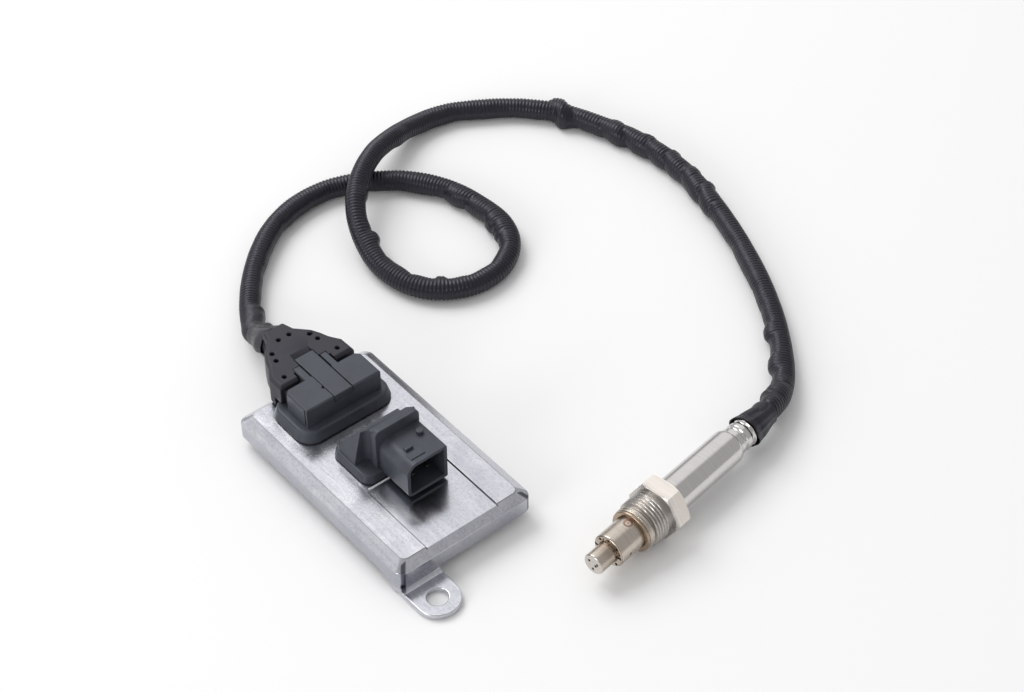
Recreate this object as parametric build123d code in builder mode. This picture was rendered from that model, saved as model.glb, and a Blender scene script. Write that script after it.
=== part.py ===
from build123d import *
from math import atan2, cos, degrees, pi, radians, sin, tan
import os

os.makedirs("parts", exist_ok=True)

# Nitrogen oxide sensor: a flat control unit in a drawn aluminium cover, a harness in ribbed conduit,
# and an exhaust probe with a union nut that turns freely on it.
# Millimetres. X runs along the control unit towards the mouth of the vehicle socket, Y towards the
# probe, Z up. The origin is the middle of the control unit on the surface that it stands on.

# Driving dimensions of the control unit's cover
housing_length = 106.5
housing_width = 64.8
housing_corner = 4.0
wall_bottom = 4.5
band_top = 11.5
lid_top = 14.8
bevel_run_end = 3.7
bevel_run_side = 4.6
roof_inset = 1.2
roof_drop = 1.2
lid_corner = 2.6
sheet = 2.4
recess_start = 12.5
recess_width = 34.2
recess_depth = 0.5
recess_corner = 2.0

# Mounting ears, on two opposite corners
ear_width = 18.7
ear_hole_reach = 9.95
ear_hole_setback = 9.8
ear_hole_radius = 4.25
ear_bend_radius = 2.0
skirt_reach = 13.0
skirt_foot = 3.5

# Base tray, seal and circuit board
tray_sheet = 1.5
tray_inset = 8.0
tray_clearance = 0.25
tray_corner = 3.0
seal_bead_height = 1.2
seal_bead_width = 2.0
seal_bead_corner = 0.8
board_thickness = 1.6
board_clearance = 0.4
board_underside = 7.4
post_radius = 2.2
post_inset = 6.0

# Parts on the board, in a row across it near its plain end
component_setback = 16.85
component_gap_processor = 8.0
component_gap_capacitors = 4.9
processor_y = -12.0
processor_side = 14.0
processor_height = 1.6
case_edge = 0.25
driver_length = 10.5
driver_width = 9.0
driver_height = 2.3
capacitor_radius = 3.1
capacitor_height = 2.8
capacitor_edge = 0.4
capacitor_pitch = 9.0

# Both headers sit on the lid on flat seals and reach through it
header_seal_height = 0.6
header_seal_inset = 0.4
plinth_clearance = 0.3
plinth_reach = 1.0
plinth_corner = 2.0
pin_side = 0.8
pin_tail = 0.8

# Sensor header, under the plug
sensor_x = -32.8
sensor_y = 0.3
sensor_flange_length = 27.0
sensor_flange_width = 45.4
sensor_flange_corner = 7.4
sensor_flange_draft = 1.4
sensor_flange_top = 20.0
sensor_flange_round = 1.2
sensor_plinth_inset = 5.4
socket_length = 10.6
socket_width = 31.0
socket_wall = 1.2
socket_corner = 1.5
socket_bore_corner = 0.75
socket_top = 24.0
socket_floor = 17.0
sensor_pin_pitch_x = 3.0
sensor_pin_pitch_y = 6.0
sensor_pin_top = 22.5

# Plug that sits on the sensor header
plug_front = -24.3
plug_rear = -39.4
plug_width = 36.2
plug_top = 29.4
plug_chamfer = 1.8
plug_edge = 0.6
plug_fit = 0.3
terminal_side = 1.6
terminal_length = 4.0
tongue_rear = -47.5
tongue_width = 16.4
tongue_height = 6.6
tongue_slot_length = 3.6
tongue_slot_width = 0.8
tongue_slot_depth = 3.0
corner_slot_width = 0.8
corner_slot_depth = 0.7
corner_slot_setback = 1.4
sight_hole_x = -31.3
sight_hole_radius = 0.7
sight_hole_depth = 1.2

# Latch lever, rocking on two pins in the plug
latch_width = 8.9
latch_gap = 0.3
latch_rear = -51.4
latch_thickness = 2.8
latch_edge = 0.3
latch_pivot_x = -36.0
latch_pivot_drop = 1.7
latch_pivot_radius = 0.8
latch_pivot_play = 0.1
latch_pivot_reach = 1.2
latch_slot_front = -39.1
latch_slot_width = 0.7
thumb_recess_length = 3.4
thumb_recess_depth = 1.6
latch_travel_room = 1.8

# Overmoulded boot, fanning out from the harness to the plug
boot_bottom = 15.7
boot_top = 29.0
boot_edge = 1.2
boot_gap = 2.4
boot_step_drop = 3.0
boot_end = -73.0
boot_end_half = 5.0
boot_shoulder_half = 18.2
boot_front = plug_rear - boot_gap
boot_outline = [(-50.0, 17.9), (-54.6, 15.0), (-58.4, 13.6), (-62.2, 11.7), (-67.6, 6.6)]
mould_pin_radius = 0.65
mould_pin_depth = 2.0
mould_pins = [(-64.9, 2.6), (-59.9, 9.2), (-55.7, 10.2), (-46.2, 13.0)]
neck_angle = 25.0
neck_root_inset = 3.15
neck_root_drop = 0.6
neck_length = 10.0
neck_radius = 6.3
neck_tip_radius = 5.4

# Vehicle header
vehicle_x = -0.1
vehicle_y = 0.8
vehicle_flange_length = 24.2
vehicle_flange_width = 34.4
vehicle_flange_corner = 4.8
vehicle_flange_draft = 0.8
vehicle_flange_top = 19.0
vehicle_flange_round = 0.8
vehicle_plinth_length = 14.0
vehicle_plinth_width = 22.0
wedge_inset = 1.6
wedge_corner = 3.4
wedge_wall = 1.0
wedge_front = 2.4
wedge_ridge = 1.0
wedge_top = 34.8
wedge_top_left = -11.4
wedge_top_right = 7.5
body_left = -7.9
body_right = 11.0
hollow_radius = 2.8
rib_count = 3
rib_start = 3.4
rib_run = 1.1
rib_rise = 0.75
rib_spread = 0.3
collar_x = 6.6
collar_thickness = 2.4
collar_margin = 1.2
collar_bottom = 16.4
collar_top = 37.8
collar_corner = 2.4
shroud_length = 18.0
shroud_left = -7.6
shroud_right = 11.6
shroud_bottom = 15.6
shroud_top = 32.4
shroud_wall = 1.5
shroud_big_corner = 5.0
shroud_small_corner = 2.6
shroud_tight_corner = 0.7
shroud_floor = 2.5
lug_height = 1.3
lug_length = 1.8
lug_width = 3.6
lug_x = 19.0
lug_y = -0.9
peg_height = 1.6
peg_radius = 1.5
peg_x = 14.9
peg_y = 7.7
pad_x = 22.8
pad_y = -0.4
pad_length = 3.4
pad_width = 6.8
pad_height = 0.4
vehicle_pin_rows = [(21.2, 4.2), (26.6, 0.6)]
vehicle_pin_pitch = 7.0
vehicle_pin_tip = 22.0
vehicle_pin_side = 1.5

# Probe: its axis lies level, with the nut's lowest flat on the floor. Stations count from the front
# face of the hexagon, negative towards the tip.
hex_x = 88.9
hex_y = 62.6
probe_heading = 98.6
hex_flats = 22.0
hex_length = 7.8
hex_chamfer = 1.2
thread_radius = 10.0
thread_front = -9.6
thread_chamfer = 1.0
thread_relief_length = 1.6
thread_relief_depth = 1.1
thread_relief_run = 0.55
nut_bore_clearance = 0.3
stem_radius = 7.5
flange_radius = 9.3
flange_rear = -9.9
flange_length = 2.4
flange_groove = 0.45
gasket_length = 1.3
gasket_radius = 9.1
gasket_edge = 0.45
stem_rear = 9.6
spigot_rear = 18.0
tube_wall = 0.5
tip_station = -35.4
tip_radius = 4.5
tip_hole_radius = 0.5
tip_hole_ring = 2.25
tip_hole_count = 3
tip_hole_turn = 45.0
tip_edge = 0.6
outer_station = -26.6
outer_radius = 7.1
outer_edge = 0.9
outer_seat = 2.2
outer_hole_radius = 0.55
outer_hole_count = 8
outer_hole_turn = 20.0
sleeve_station = 10.0
sleeve_wall = 0.7
sleeve_shoulder = 47.8
shoulder_round = 2.6
crimp_radius = 6.1
crimp_groove = 0.55
crimp_end = 59.6
crimp_grooves = [51.6, 55.8]
crimp_groove_length = 1.5
play = 0.08
element_width = 4.2
element_thickness = 1.5
element_front = -31.5
element_rear = 33.0
bore_radius = 5.0
front_ceramic_length = 7.0
talc_length = 6.0
rear_ceramic_length = 10.0
holder_front = 22.0
holder_rear = 44.0
holder_radius = 6.2
contact_thickness = 0.4
contact_width = 1.1
contact_length = 16.0
contact_pitch = 1.5
cuff_front = 57.4
cuff_rear = 67.0
cuff_radius = 6.9
cuff_tail_radius = 5.0
cuff_straight = 1.25

# Harness: the route's points between the boot's mouth and the probe's rear, lying on the floor
cord_diameter = 9.0
cord_bottom = 0.1
cord_run_share = 0.45
cord_lead_in = 11.0
cord_lead_out = 12.5
floor_run = cord_diameter / 2 + cord_bottom
route_middle = [
    (-97.5, 5.5, 7.6), (-109.5, 12.2, floor_run), (-121.5, 21.0, floor_run), (-134.5, 33.5, floor_run),
    (-146.0, 48.5, floor_run), (-152.8, 66.0, floor_run), (-153.0, 85.0, floor_run),
    (-146.0, 101.5, floor_run), (-134.5, 116.5, floor_run), (-118.5, 126.5, floor_run),
    (-101.5, 130.0, floor_run), (-83.1, 131.0, floor_run), (-67.6, 122.1, floor_run),
    (-59.8, 106.0, floor_run), (-62.3, 88.3, floor_run), (-74.2, 75.0, floor_run),
    (-91.6, 70.6, floor_run), (-108.0, 72.8, 6.6), (-122.5, 78.0, 12.0), (-136.5, 89.0, 14.8),
    (-149.5, 107.0, 14.6), (-157.5, 123.0, 10.2), (-163.5, 140.0, 5.4), (-162.5, 158.0, floor_run),
    (-153.5, 174.5, floor_run), (-141.5, 190.0, floor_run), (-126.5, 201.5, floor_run),
    (-108.5, 208.5, floor_run), (-89.5, 214.5, floor_run), (-70.0, 216.3, floor_run),
    (-50.0, 214.5, floor_run), (-27.0, 208.0, floor_run), (-5.0, 200.0, floor_run),
    (16.5, 190.5, floor_run), (36.0, 179.5, floor_run), (51.0, 169.0, floor_run),
    (63.5, 158.5, 5.0), (73.0, 147.0, 7.4),
]

# Values worked out from the driving dimensions
half_length = housing_length / 2
ear_hole_x = half_length + ear_hole_reach
ear_hole_y = housing_width / 2 - ear_hole_setback
lid_length = housing_length - 2 * bevel_run_end
lid_width = housing_width - 2 * bevel_run_side
inner_length = housing_length - 2 * sheet
inner_width = housing_width - 2 * sheet
inner_corner = housing_corner - sheet
ceiling = lid_top - sheet
header_floor = lid_top + header_seal_height
board_top = board_underside + board_thickness
component_x = inner_length / 2 - component_setback
driver_y = processor_y + (processor_side + driver_width) / 2 + component_gap_processor
capacitor_y = driver_y + driver_width / 2 + component_gap_capacitors + capacitor_radius
plinth_bottom = ceiling - plinth_reach
plug_middle_x = (plug_front + plug_rear) / 2
tray_flange_bottom = wall_bottom + tray_clearance
tray_flange_top = tray_flange_bottom + tray_sheet


def probe_point(station):
    """A point on the probe's axis at the given station."""
    heading = radians(probe_heading)
    return (hex_x + station * cos(heading), hex_y + station * sin(heading), hex_flats / 2)


probe_direction = (cos(radians(probe_heading)), sin(radians(probe_heading)), 0)
probe_side = (sin(radians(probe_heading)), -cos(radians(probe_heading)), 0)
probe_axis = Axis(probe_point(0), probe_direction)
# In this plane a profile's x is its radius and its y its station along the probe
probe_profile = Plane(
    origin=probe_point(0), x_dir=(0, 0, 1), z_dir=(-probe_side[0], -probe_side[1], 0)
)


def probe_section(station):
    """The plane square to the probe at a station, facing its rear, with y pointing up."""
    return Plane(origin=probe_point(station), x_dir=probe_side, z_dir=probe_direction)


def ring_profile(inner, outer, front, rear):
    """Rectangle of a plain ring in the probe's profile plane."""
    with Locations(((inner + outer) / 2, (front + rear) / 2)):
        Rectangle(outer - inner, rear - front)


# Mounting ear: a flat tab with a rounded end, bent out of the end wall
with BuildPart() as mounting_ear:
    with BuildSketch(Plane.XZ.offset(ear_hole_y - ear_width / 2)):
        with BuildLine():
            bend_top = (half_length - sheet / 2, sheet + ear_bend_radius)
            foot = (half_length - sheet / 2, 0)
            tip_low = (ear_hole_x + ear_width / 2, 0)
            tip_high = (ear_hole_x + ear_width / 2, sheet)
            bend_foot = (half_length + ear_bend_radius, sheet)
            bend_head = (half_length, sheet + ear_bend_radius)
            Polyline(bend_top, foot, tip_low, tip_high, bend_foot)
            RadiusArc(bend_foot, bend_head, ear_bend_radius)
            Line(bend_head, bend_top)
        make_face()
    extrude(amount=ear_width)
    with BuildSketch(Plane.XY):
        with Locations((ear_hole_x, -ear_hole_y)):
            Circle(ear_width / 2)
        with Locations((ear_hole_x, -ear_hole_y)):
            Rectangle(
                ear_hole_x - half_length + sheet, ear_width, align=(Align.MAX, Align.CENTER)
            )
    extrude(amount=lid_top, mode=Mode.INTERSECT)
    with Locations((ear_hole_x, -ear_hole_y, sheet)):
        Hole(ear_hole_radius, depth=sheet)

# Skirt: the wall comes down to the floor at the ear and runs out along the long side
with BuildPart() as ear_skirt:
    with BuildSketch(Plane.XY):
        RectangleRounded(housing_length, housing_width, housing_corner)
        RectangleRounded(inner_length, inner_width, inner_corner, mode=Mode.SUBTRACT)
    extrude(amount=wall_bottom + sheet)
    with BuildSketch(Plane.XZ.offset(ear_hole_y - ear_width / 2)):
        with BuildLine():
            Polyline(
                (half_length - skirt_reach, wall_bottom + sheet),
                (half_length - skirt_reach, wall_bottom),
                (half_length - skirt_foot, 0),
                (half_length + sheet, 0),
                (half_length + sheet, wall_bottom + sheet),
                close=True,
            )
        make_face()
    extrude(amount=housing_width, mode=Mode.INTERSECT)

# Cover: upright band, bevel facets and flat lid, hollow below, with a shallow bare label recess
with BuildPart() as housing_cover:
    with BuildSketch(Plane.XY.offset(wall_bottom)):
        RectangleRounded(housing_length, housing_width, housing_corner)
    extrude(amount=band_top - wall_bottom)
    with BuildSketch(Plane.XY.offset(band_top)):
        RectangleRounded(housing_length, housing_width, housing_corner)
    with BuildSketch(Plane.XY.offset(lid_top)):
        RectangleRounded(lid_length, lid_width, lid_corner)
    loft(ruled=True)
    with BuildSketch(Plane.XY.offset(wall_bottom)):
        RectangleRounded(inner_length, inner_width, inner_corner)
    extrude(amount=band_top - roof_drop - wall_bottom, mode=Mode.SUBTRACT)
    with BuildSketch(Plane.XY.offset(band_top - roof_drop)):
        RectangleRounded(inner_length, inner_width, inner_corner)
    with BuildSketch(Plane.XY.offset(ceiling)):
        RectangleRounded(lid_length - 2 * roof_inset, lid_width - 2 * roof_inset, inner_corner)
    loft(ruled=True, mode=Mode.SUBTRACT)
    with BuildSketch(Plane.XY.offset(lid_top)):
        with Locations((recess_start, 0)):
            RectangleRounded(
                housing_length, recess_width, recess_corner, align=(Align.MIN, Align.CENTER)
            )
    extrude(amount=-recess_depth, mode=Mode.SUBTRACT)
    with BuildSketch(Plane.XY.offset(lid_top)):
        with Locations((sensor_x, sensor_y)):
            RectangleRounded(
                sensor_flange_length - 2 * (sensor_plinth_inset - plinth_clearance),
                sensor_flange_width - 2 * (sensor_plinth_inset - plinth_clearance),
                plinth_corner,
            )
        with Locations((vehicle_x, vehicle_y)):
            RectangleRounded(
                vehicle_plinth_length + 2 * plinth_clearance,
                vehicle_plinth_width + 2 * plinth_clearance,
                plinth_corner,
            )
    extrude(amount=-sheet, mode=Mode.SUBTRACT)
    add(ear_skirt.part)
    add(mounting_ear.part)
    add(ear_skirt.part.rotate(Axis.Z, 180))
    add(mounting_ear.part.rotate(Axis.Z, 180))
housing_cover.part.label = "housing_cover"
export_step(housing_cover.part, "parts/housing_cover.step")

# Base tray: a pressed pan whose floor the unit rests on, with four posts for the board
with BuildPart() as base_plate:
    with BuildSketch(Plane.XY):
        RectangleRounded(
            inner_length - 2 * tray_inset, inner_width - 2 * tray_inset, tray_corner + tray_sheet
        )
    extrude(amount=tray_flange_top)
    with BuildSketch(Plane.XY.offset(tray_flange_bottom)):
        RectangleRounded(
            inner_length - 2 * tray_clearance, inner_width - 2 * tray_clearance, inner_corner
        )
    extrude(amount=tray_sheet)
    with BuildSketch(Plane.XY.offset(tray_sheet)):
        RectangleRounded(
            inner_length - 2 * tray_inset - 2 * tray_sheet,
            inner_width - 2 * tray_inset - 2 * tray_sheet,
            tray_corner,
        )
    extrude(amount=tray_flange_top, mode=Mode.SUBTRACT)
    with BuildSketch(Plane.XY):
        with GridLocations(
            inner_length - 2 * (tray_inset + post_inset), inner_width - 2 * (tray_inset + post_inset), 2, 2
        ):
            Circle(post_radius)
    extrude(amount=board_underside)
base_plate.part.label = "base_plate"
export_step(base_plate.part, "parts/base_plate.step")

# Sealing bead in the corner between the tray and the cover's wall
with BuildPart() as base_seal:
    with BuildSketch(Plane.XY.offset(tray_flange_top)):
        RectangleRounded(inner_length, inner_width, inner_corner)
        RectangleRounded(
            inner_length - 2 * seal_bead_width,
            inner_width - 2 * seal_bead_width,
            seal_bead_corner,
            mode=Mode.SUBTRACT,
        )
    extrude(amount=seal_bead_height)
base_seal.part.label = "base_seal"
export_step(base_seal.part, "parts/base_seal.step")

# Straight pins of the sensor header, soldered through the board
with BuildPart() as sensor_header_pins:
    with BuildSketch(Plane.XY.offset(board_underside - pin_tail)):
        with Locations((plug_middle_x, sensor_y)):
            with GridLocations(sensor_pin_pitch_x, sensor_pin_pitch_y, 2, 4):
                Rectangle(pin_side, pin_side)
    extrude(amount=sensor_pin_top - board_underside + pin_tail)
sensor_header_pins.part.label = "sensor_header_pins"
export_step(sensor_header_pins.part, "parts/sensor_header_pins.step")

# Angled blades of the vehicle header: down to the board, and forward into the socket
with BuildPart() as vehicle_header_pins:
    for row_height, leg_x in vehicle_pin_rows:
        for side in (-1, 1):
            blade_y = (shroud_left + shroud_right) / 2 + side * vehicle_pin_pitch / 2
            with Locations((leg_x, blade_y, row_height)):
                Box(
                    vehicle_pin_tip - leg_x, vehicle_pin_side, pin_side,
                    align=(Align.MIN, Align.CENTER, Align.CENTER),
                )
            with Locations((leg_x, blade_y, row_height + pin_side / 2)):
                Box(
                    pin_side, vehicle_pin_side, row_height + pin_side / 2 - board_underside,
                    align=(Align.MIN, Align.CENTER, Align.MAX),
                )
vehicle_header_pins.part.label = "vehicle_header_pins"
export_step(vehicle_header_pins.part, "parts/vehicle_header_pins.step")

# Circuit board, resting on the tray's posts
with BuildPart() as circuit_board:
    with BuildSketch(Plane.XY.offset(board_underside)):
        RectangleRounded(
            inner_length - 2 * (seal_bead_width + board_clearance),
            inner_width - 2 * (seal_bead_width + board_clearance),
            inner_corner,
        )
    extrude(amount=board_thickness)
    add(sensor_header_pins.part, mode=Mode.SUBTRACT)
    add(vehicle_header_pins.part, mode=Mode.SUBTRACT)
circuit_board.part.label = "circuit_board"
export_step(circuit_board.part, "parts/circuit_board.step")

# Parts on the board: the processor, the heater driver and three buffer capacitors
with BuildPart() as processor_chip:
    with Locations((component_x, processor_y, board_top)):
        Box(processor_side, processor_side, processor_height, align=(Align.CENTER, Align.CENTER, Align.MIN))
    chamfer(processor_chip.edges().group_by(Axis.Z)[-1], case_edge)
processor_chip.part.label = "processor_chip"
export_step(processor_chip.part, "parts/processor_chip.step")

with BuildPart() as heater_driver:
    with Locations((component_x, driver_y, board_top)):
        Box(driver_length, driver_width, driver_height, align=(Align.CENTER, Align.CENTER, Align.MIN))
    chamfer(heater_driver.edges().group_by(Axis.Z)[-1], case_edge)
heater_driver.part.label = "heater_driver"
export_step(heater_driver.part, "parts/heater_driver.step")

with BuildPart() as buffer_capacitors:
    with BuildSketch(Plane.XY.offset(board_top)):
        with Locations((component_x, capacitor_y)):
            with GridLocations(capacitor_pitch, capacitor_pitch, 3, 1):
                Circle(capacitor_radius)
    extrude(amount=capacitor_height)
    chamfer(buffer_capacitors.edges().group_by(Axis.Z)[-1], capacitor_edge)
buffer_capacitors.part.label = "buffer_capacitors"
export_step(buffer_capacitors.part, "parts/buffer_capacitors.step")

# Flat seals between the lid and the two header flanges
with BuildPart() as sensor_header_seal:
    with BuildSketch(Plane.XY.offset(lid_top)):
        with Locations((sensor_x, sensor_y)):
            RectangleRounded(
                sensor_flange_length - 2 * header_seal_inset,
                sensor_flange_width - 2 * header_seal_inset,
                sensor_flange_corner - header_seal_inset,
            )
            RectangleRounded(
                sensor_flange_length - 2 * (sensor_plinth_inset - plinth_clearance),
                sensor_flange_width - 2 * (sensor_plinth_inset - plinth_clearance),
                plinth_corner,
                mode=Mode.SUBTRACT,
            )
    extrude(amount=header_seal_height)
sensor_header_seal.part.label = "sensor_header_seal"
export_step(sensor_header_seal.part, "parts/sensor_header_seal.step")

with BuildPart() as vehicle_header_seal:
    with BuildSketch(Plane.XY.offset(lid_top)):
        with Locations((vehicle_x, vehicle_y)):
            RectangleRounded(
                vehicle_flange_length - 2 * header_seal_inset,
                vehicle_flange_width - 2 * header_seal_inset,
                vehicle_flange_corner - header_seal_inset,
            )
            RectangleRounded(
                vehicle_plinth_length + 2 * plinth_clearance,
                vehicle_plinth_width + 2 * plinth_clearance,
                plinth_corner,
                mode=Mode.SUBTRACT,
            )
    extrude(amount=header_seal_height)
vehicle_header_seal.part.label = "vehicle_header_seal"
export_step(vehicle_header_seal.part, "parts/vehicle_header_seal.step")

# Sensor header: flange, plinth through the lid and the open socket that the plug covers
with BuildPart() as sensor_header:
    with BuildSketch(Plane.XY.offset(header_floor)):
        with Locations((sensor_x, sensor_y)):
            RectangleRounded(sensor_flange_length, sensor_flange_width, sensor_flange_corner)
    sensor_flange_height = sensor_flange_top - header_floor
    extrude(amount=sensor_flange_height, taper=degrees(atan2(sensor_flange_draft, sensor_flange_height)))
    fillet(sensor_header.edges().group_by(Axis.Z)[-1], sensor_flange_round)
    with BuildSketch(Plane.XY.offset(plinth_bottom)):
        with Locations((sensor_x, sensor_y)):
            RectangleRounded(
                sensor_flange_length - 2 * sensor_plinth_inset,
                sensor_flange_width - 2 * sensor_plinth_inset,
                plinth_corner,
            )
    extrude(amount=header_floor - plinth_bottom)
    with BuildSketch(Plane.XY.offset(sensor_flange_top)):
        with Locations((plug_middle_x, sensor_y)):
            RectangleRounded(socket_length, socket_width, socket_corner)
    extrude(amount=socket_top - sensor_flange_top)
    with BuildSketch(Plane.XY.offset(socket_floor)):
        with Locations((plug_middle_x, sensor_y)):
            RectangleRounded(
                socket_length - 2 * socket_wall, socket_width - 2 * socket_wall, socket_bore_corner
            )
    extrude(amount=socket_top - socket_floor, mode=Mode.SUBTRACT)
    add(sensor_header_pins.part, mode=Mode.SUBTRACT)
sensor_header.part.label = "sensor_header"
export_step(sensor_header.part, "parts/sensor_header.step")

# Vehicle header: flange, sloping back, stepped ribs, collar plate and the open shroud
with BuildPart() as vehicle_header:
    with BuildSketch(Plane.XY.offset(header_floor)):
        with Locations((vehicle_x, vehicle_y)):
            RectangleRounded(vehicle_flange_length, vehicle_flange_width, vehicle_flange_corner)
    vehicle_flange_height = vehicle_flange_top - header_floor
    extrude(amount=vehicle_flange_height, taper=degrees(atan2(vehicle_flange_draft, vehicle_flange_height)))
    fillet(vehicle_header.edges().group_by(Axis.Z)[-1], vehicle_flange_round)
    with BuildSketch(Plane.XY.offset(plinth_bottom)):
        with Locations((vehicle_x, vehicle_y)):
            RectangleRounded(vehicle_plinth_length, vehicle_plinth_width, plinth_corner)
    extrude(amount=header_floor - plinth_bottom)
    wedge_rear = vehicle_x - vehicle_flange_length / 2 + wedge_inset
    wedge_left = vehicle_y - vehicle_flange_width / 2 + wedge_inset
    wedge_right = vehicle_y + vehicle_flange_width / 2 - wedge_inset
    with BuildPart(mode=Mode.PRIVATE) as wedge:
        with BuildSketch(Plane.XY.offset(vehicle_flange_top)):
            with Locations(((wedge_rear + wedge_front) / 2, (wedge_left + wedge_right) / 2)):
                Rectangle(wedge_front - wedge_rear, wedge_right - wedge_left)
        extrude(amount=wedge_wall)
        with BuildSketch(Plane.XY.offset(vehicle_flange_top + wedge_wall)):
            with Locations(((wedge_rear + wedge_front) / 2, (wedge_left + wedge_right) / 2)):
                Rectangle(wedge_front - wedge_rear, wedge_right - wedge_left)
        with BuildSketch(Plane.XY.offset(wedge_top)):
            with Locations(((wedge_ridge + wedge_front) / 2, (wedge_top_left + wedge_top_right) / 2)):
                Rectangle(wedge_front - wedge_ridge, wedge_top_right - wedge_top_left)
        loft(ruled=True)
        with BuildSketch(Plane.XY.offset(vehicle_flange_top)):
            with Locations((wedge_rear, (wedge_left + wedge_right) / 2)):
                RectangleRounded(
                    2 * (wedge_front - wedge_rear), wedge_right - wedge_left, wedge_corner,
                    align=(Align.MIN, Align.CENTER),
                )
        extrude(amount=wedge_top - vehicle_flange_top, mode=Mode.INTERSECT)
    add(wedge.part)
    with Locations(((wedge_front + collar_x) / 2, (body_left + body_right) / 2, vehicle_flange_top)):
        Box(
            collar_x - wedge_front, body_right - body_left, wedge_top - vehicle_flange_top,
            align=(Align.CENTER, Align.CENTER, Align.MIN),
        )
    with BuildSketch(Plane.XY.offset(vehicle_flange_top)):
        with Locations((wedge_front, body_left)):
            Rectangle(hollow_radius, hollow_radius, align=(Align.MIN, Align.MAX))
        with Locations((wedge_front + hollow_radius, body_left - hollow_radius)):
            Circle(hollow_radius, mode=Mode.SUBTRACT)
    extrude(amount=wedge_top - vehicle_flange_top)
    for rib in range(rib_count):
        rib_x = rib_start + rib * rib_run
        with BuildSketch(Plane.XY.offset(vehicle_flange_top)):
            with Locations(((rib_x + collar_x) / 2, (body_left + body_right) / 2)):
                Rectangle(collar_x - rib_x, body_right - body_left + 2 * (rib + 1) * rib_spread)
        extrude(amount=wedge_top + (rib + 1) * rib_rise - vehicle_flange_top)
    with BuildSketch(Plane.YZ.offset(collar_x)):
        with Locations(((body_left + body_right) / 2, (collar_bottom + collar_top) / 2)):
            RectangleRounded(
                body_right - body_left + 2 * collar_margin, collar_top - collar_bottom, collar_corner
            )
    extrude(amount=collar_thickness)
    shroud_rear = collar_x + collar_thickness
    with BuildSketch(Plane.YZ.offset(shroud_rear)) as shroud_outline:
        with Locations(((shroud_left + shroud_right) / 2, (shroud_bottom + shroud_top) / 2)):
            Rectangle(shroud_right - shroud_left, shroud_top - shroud_bottom)
        left_high = shroud_outline.vertices().sort_by_distance((shroud_left, shroud_top))[0]
        fillet(left_high, shroud_big_corner)
        left_low = shroud_outline.vertices().sort_by_distance((shroud_left, shroud_bottom))[0]
        fillet(left_low, shroud_small_corner)
        right_corners = shroud_outline.vertices().group_by(Axis.X)[-1]
        fillet(right_corners, shroud_tight_corner)
    extrude(amount=shroud_length)
    with BuildSketch(Plane.YZ.offset(shroud_rear + shroud_floor)):
        add(shroud_outline.sketch_local)
        offset(amount=-shroud_wall, mode=Mode.REPLACE)
    extrude(amount=shroud_length, mode=Mode.SUBTRACT)
    with Locations((lug_x, lug_y, shroud_top)):
        Box(lug_length, lug_width, 2 * lug_height)
    with Locations((peg_x, peg_y, shroud_top)):
        Cylinder(peg_radius, 2 * peg_height)
    with Locations((pad_x, pad_y, shroud_top)):
        Box(pad_length, pad_width, 2 * pad_height)
    add(vehicle_header_pins.part, mode=Mode.SUBTRACT)
vehicle_header.part.label = "vehicle_header"
export_step(vehicle_header.part, "parts/vehicle_header.step")

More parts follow.
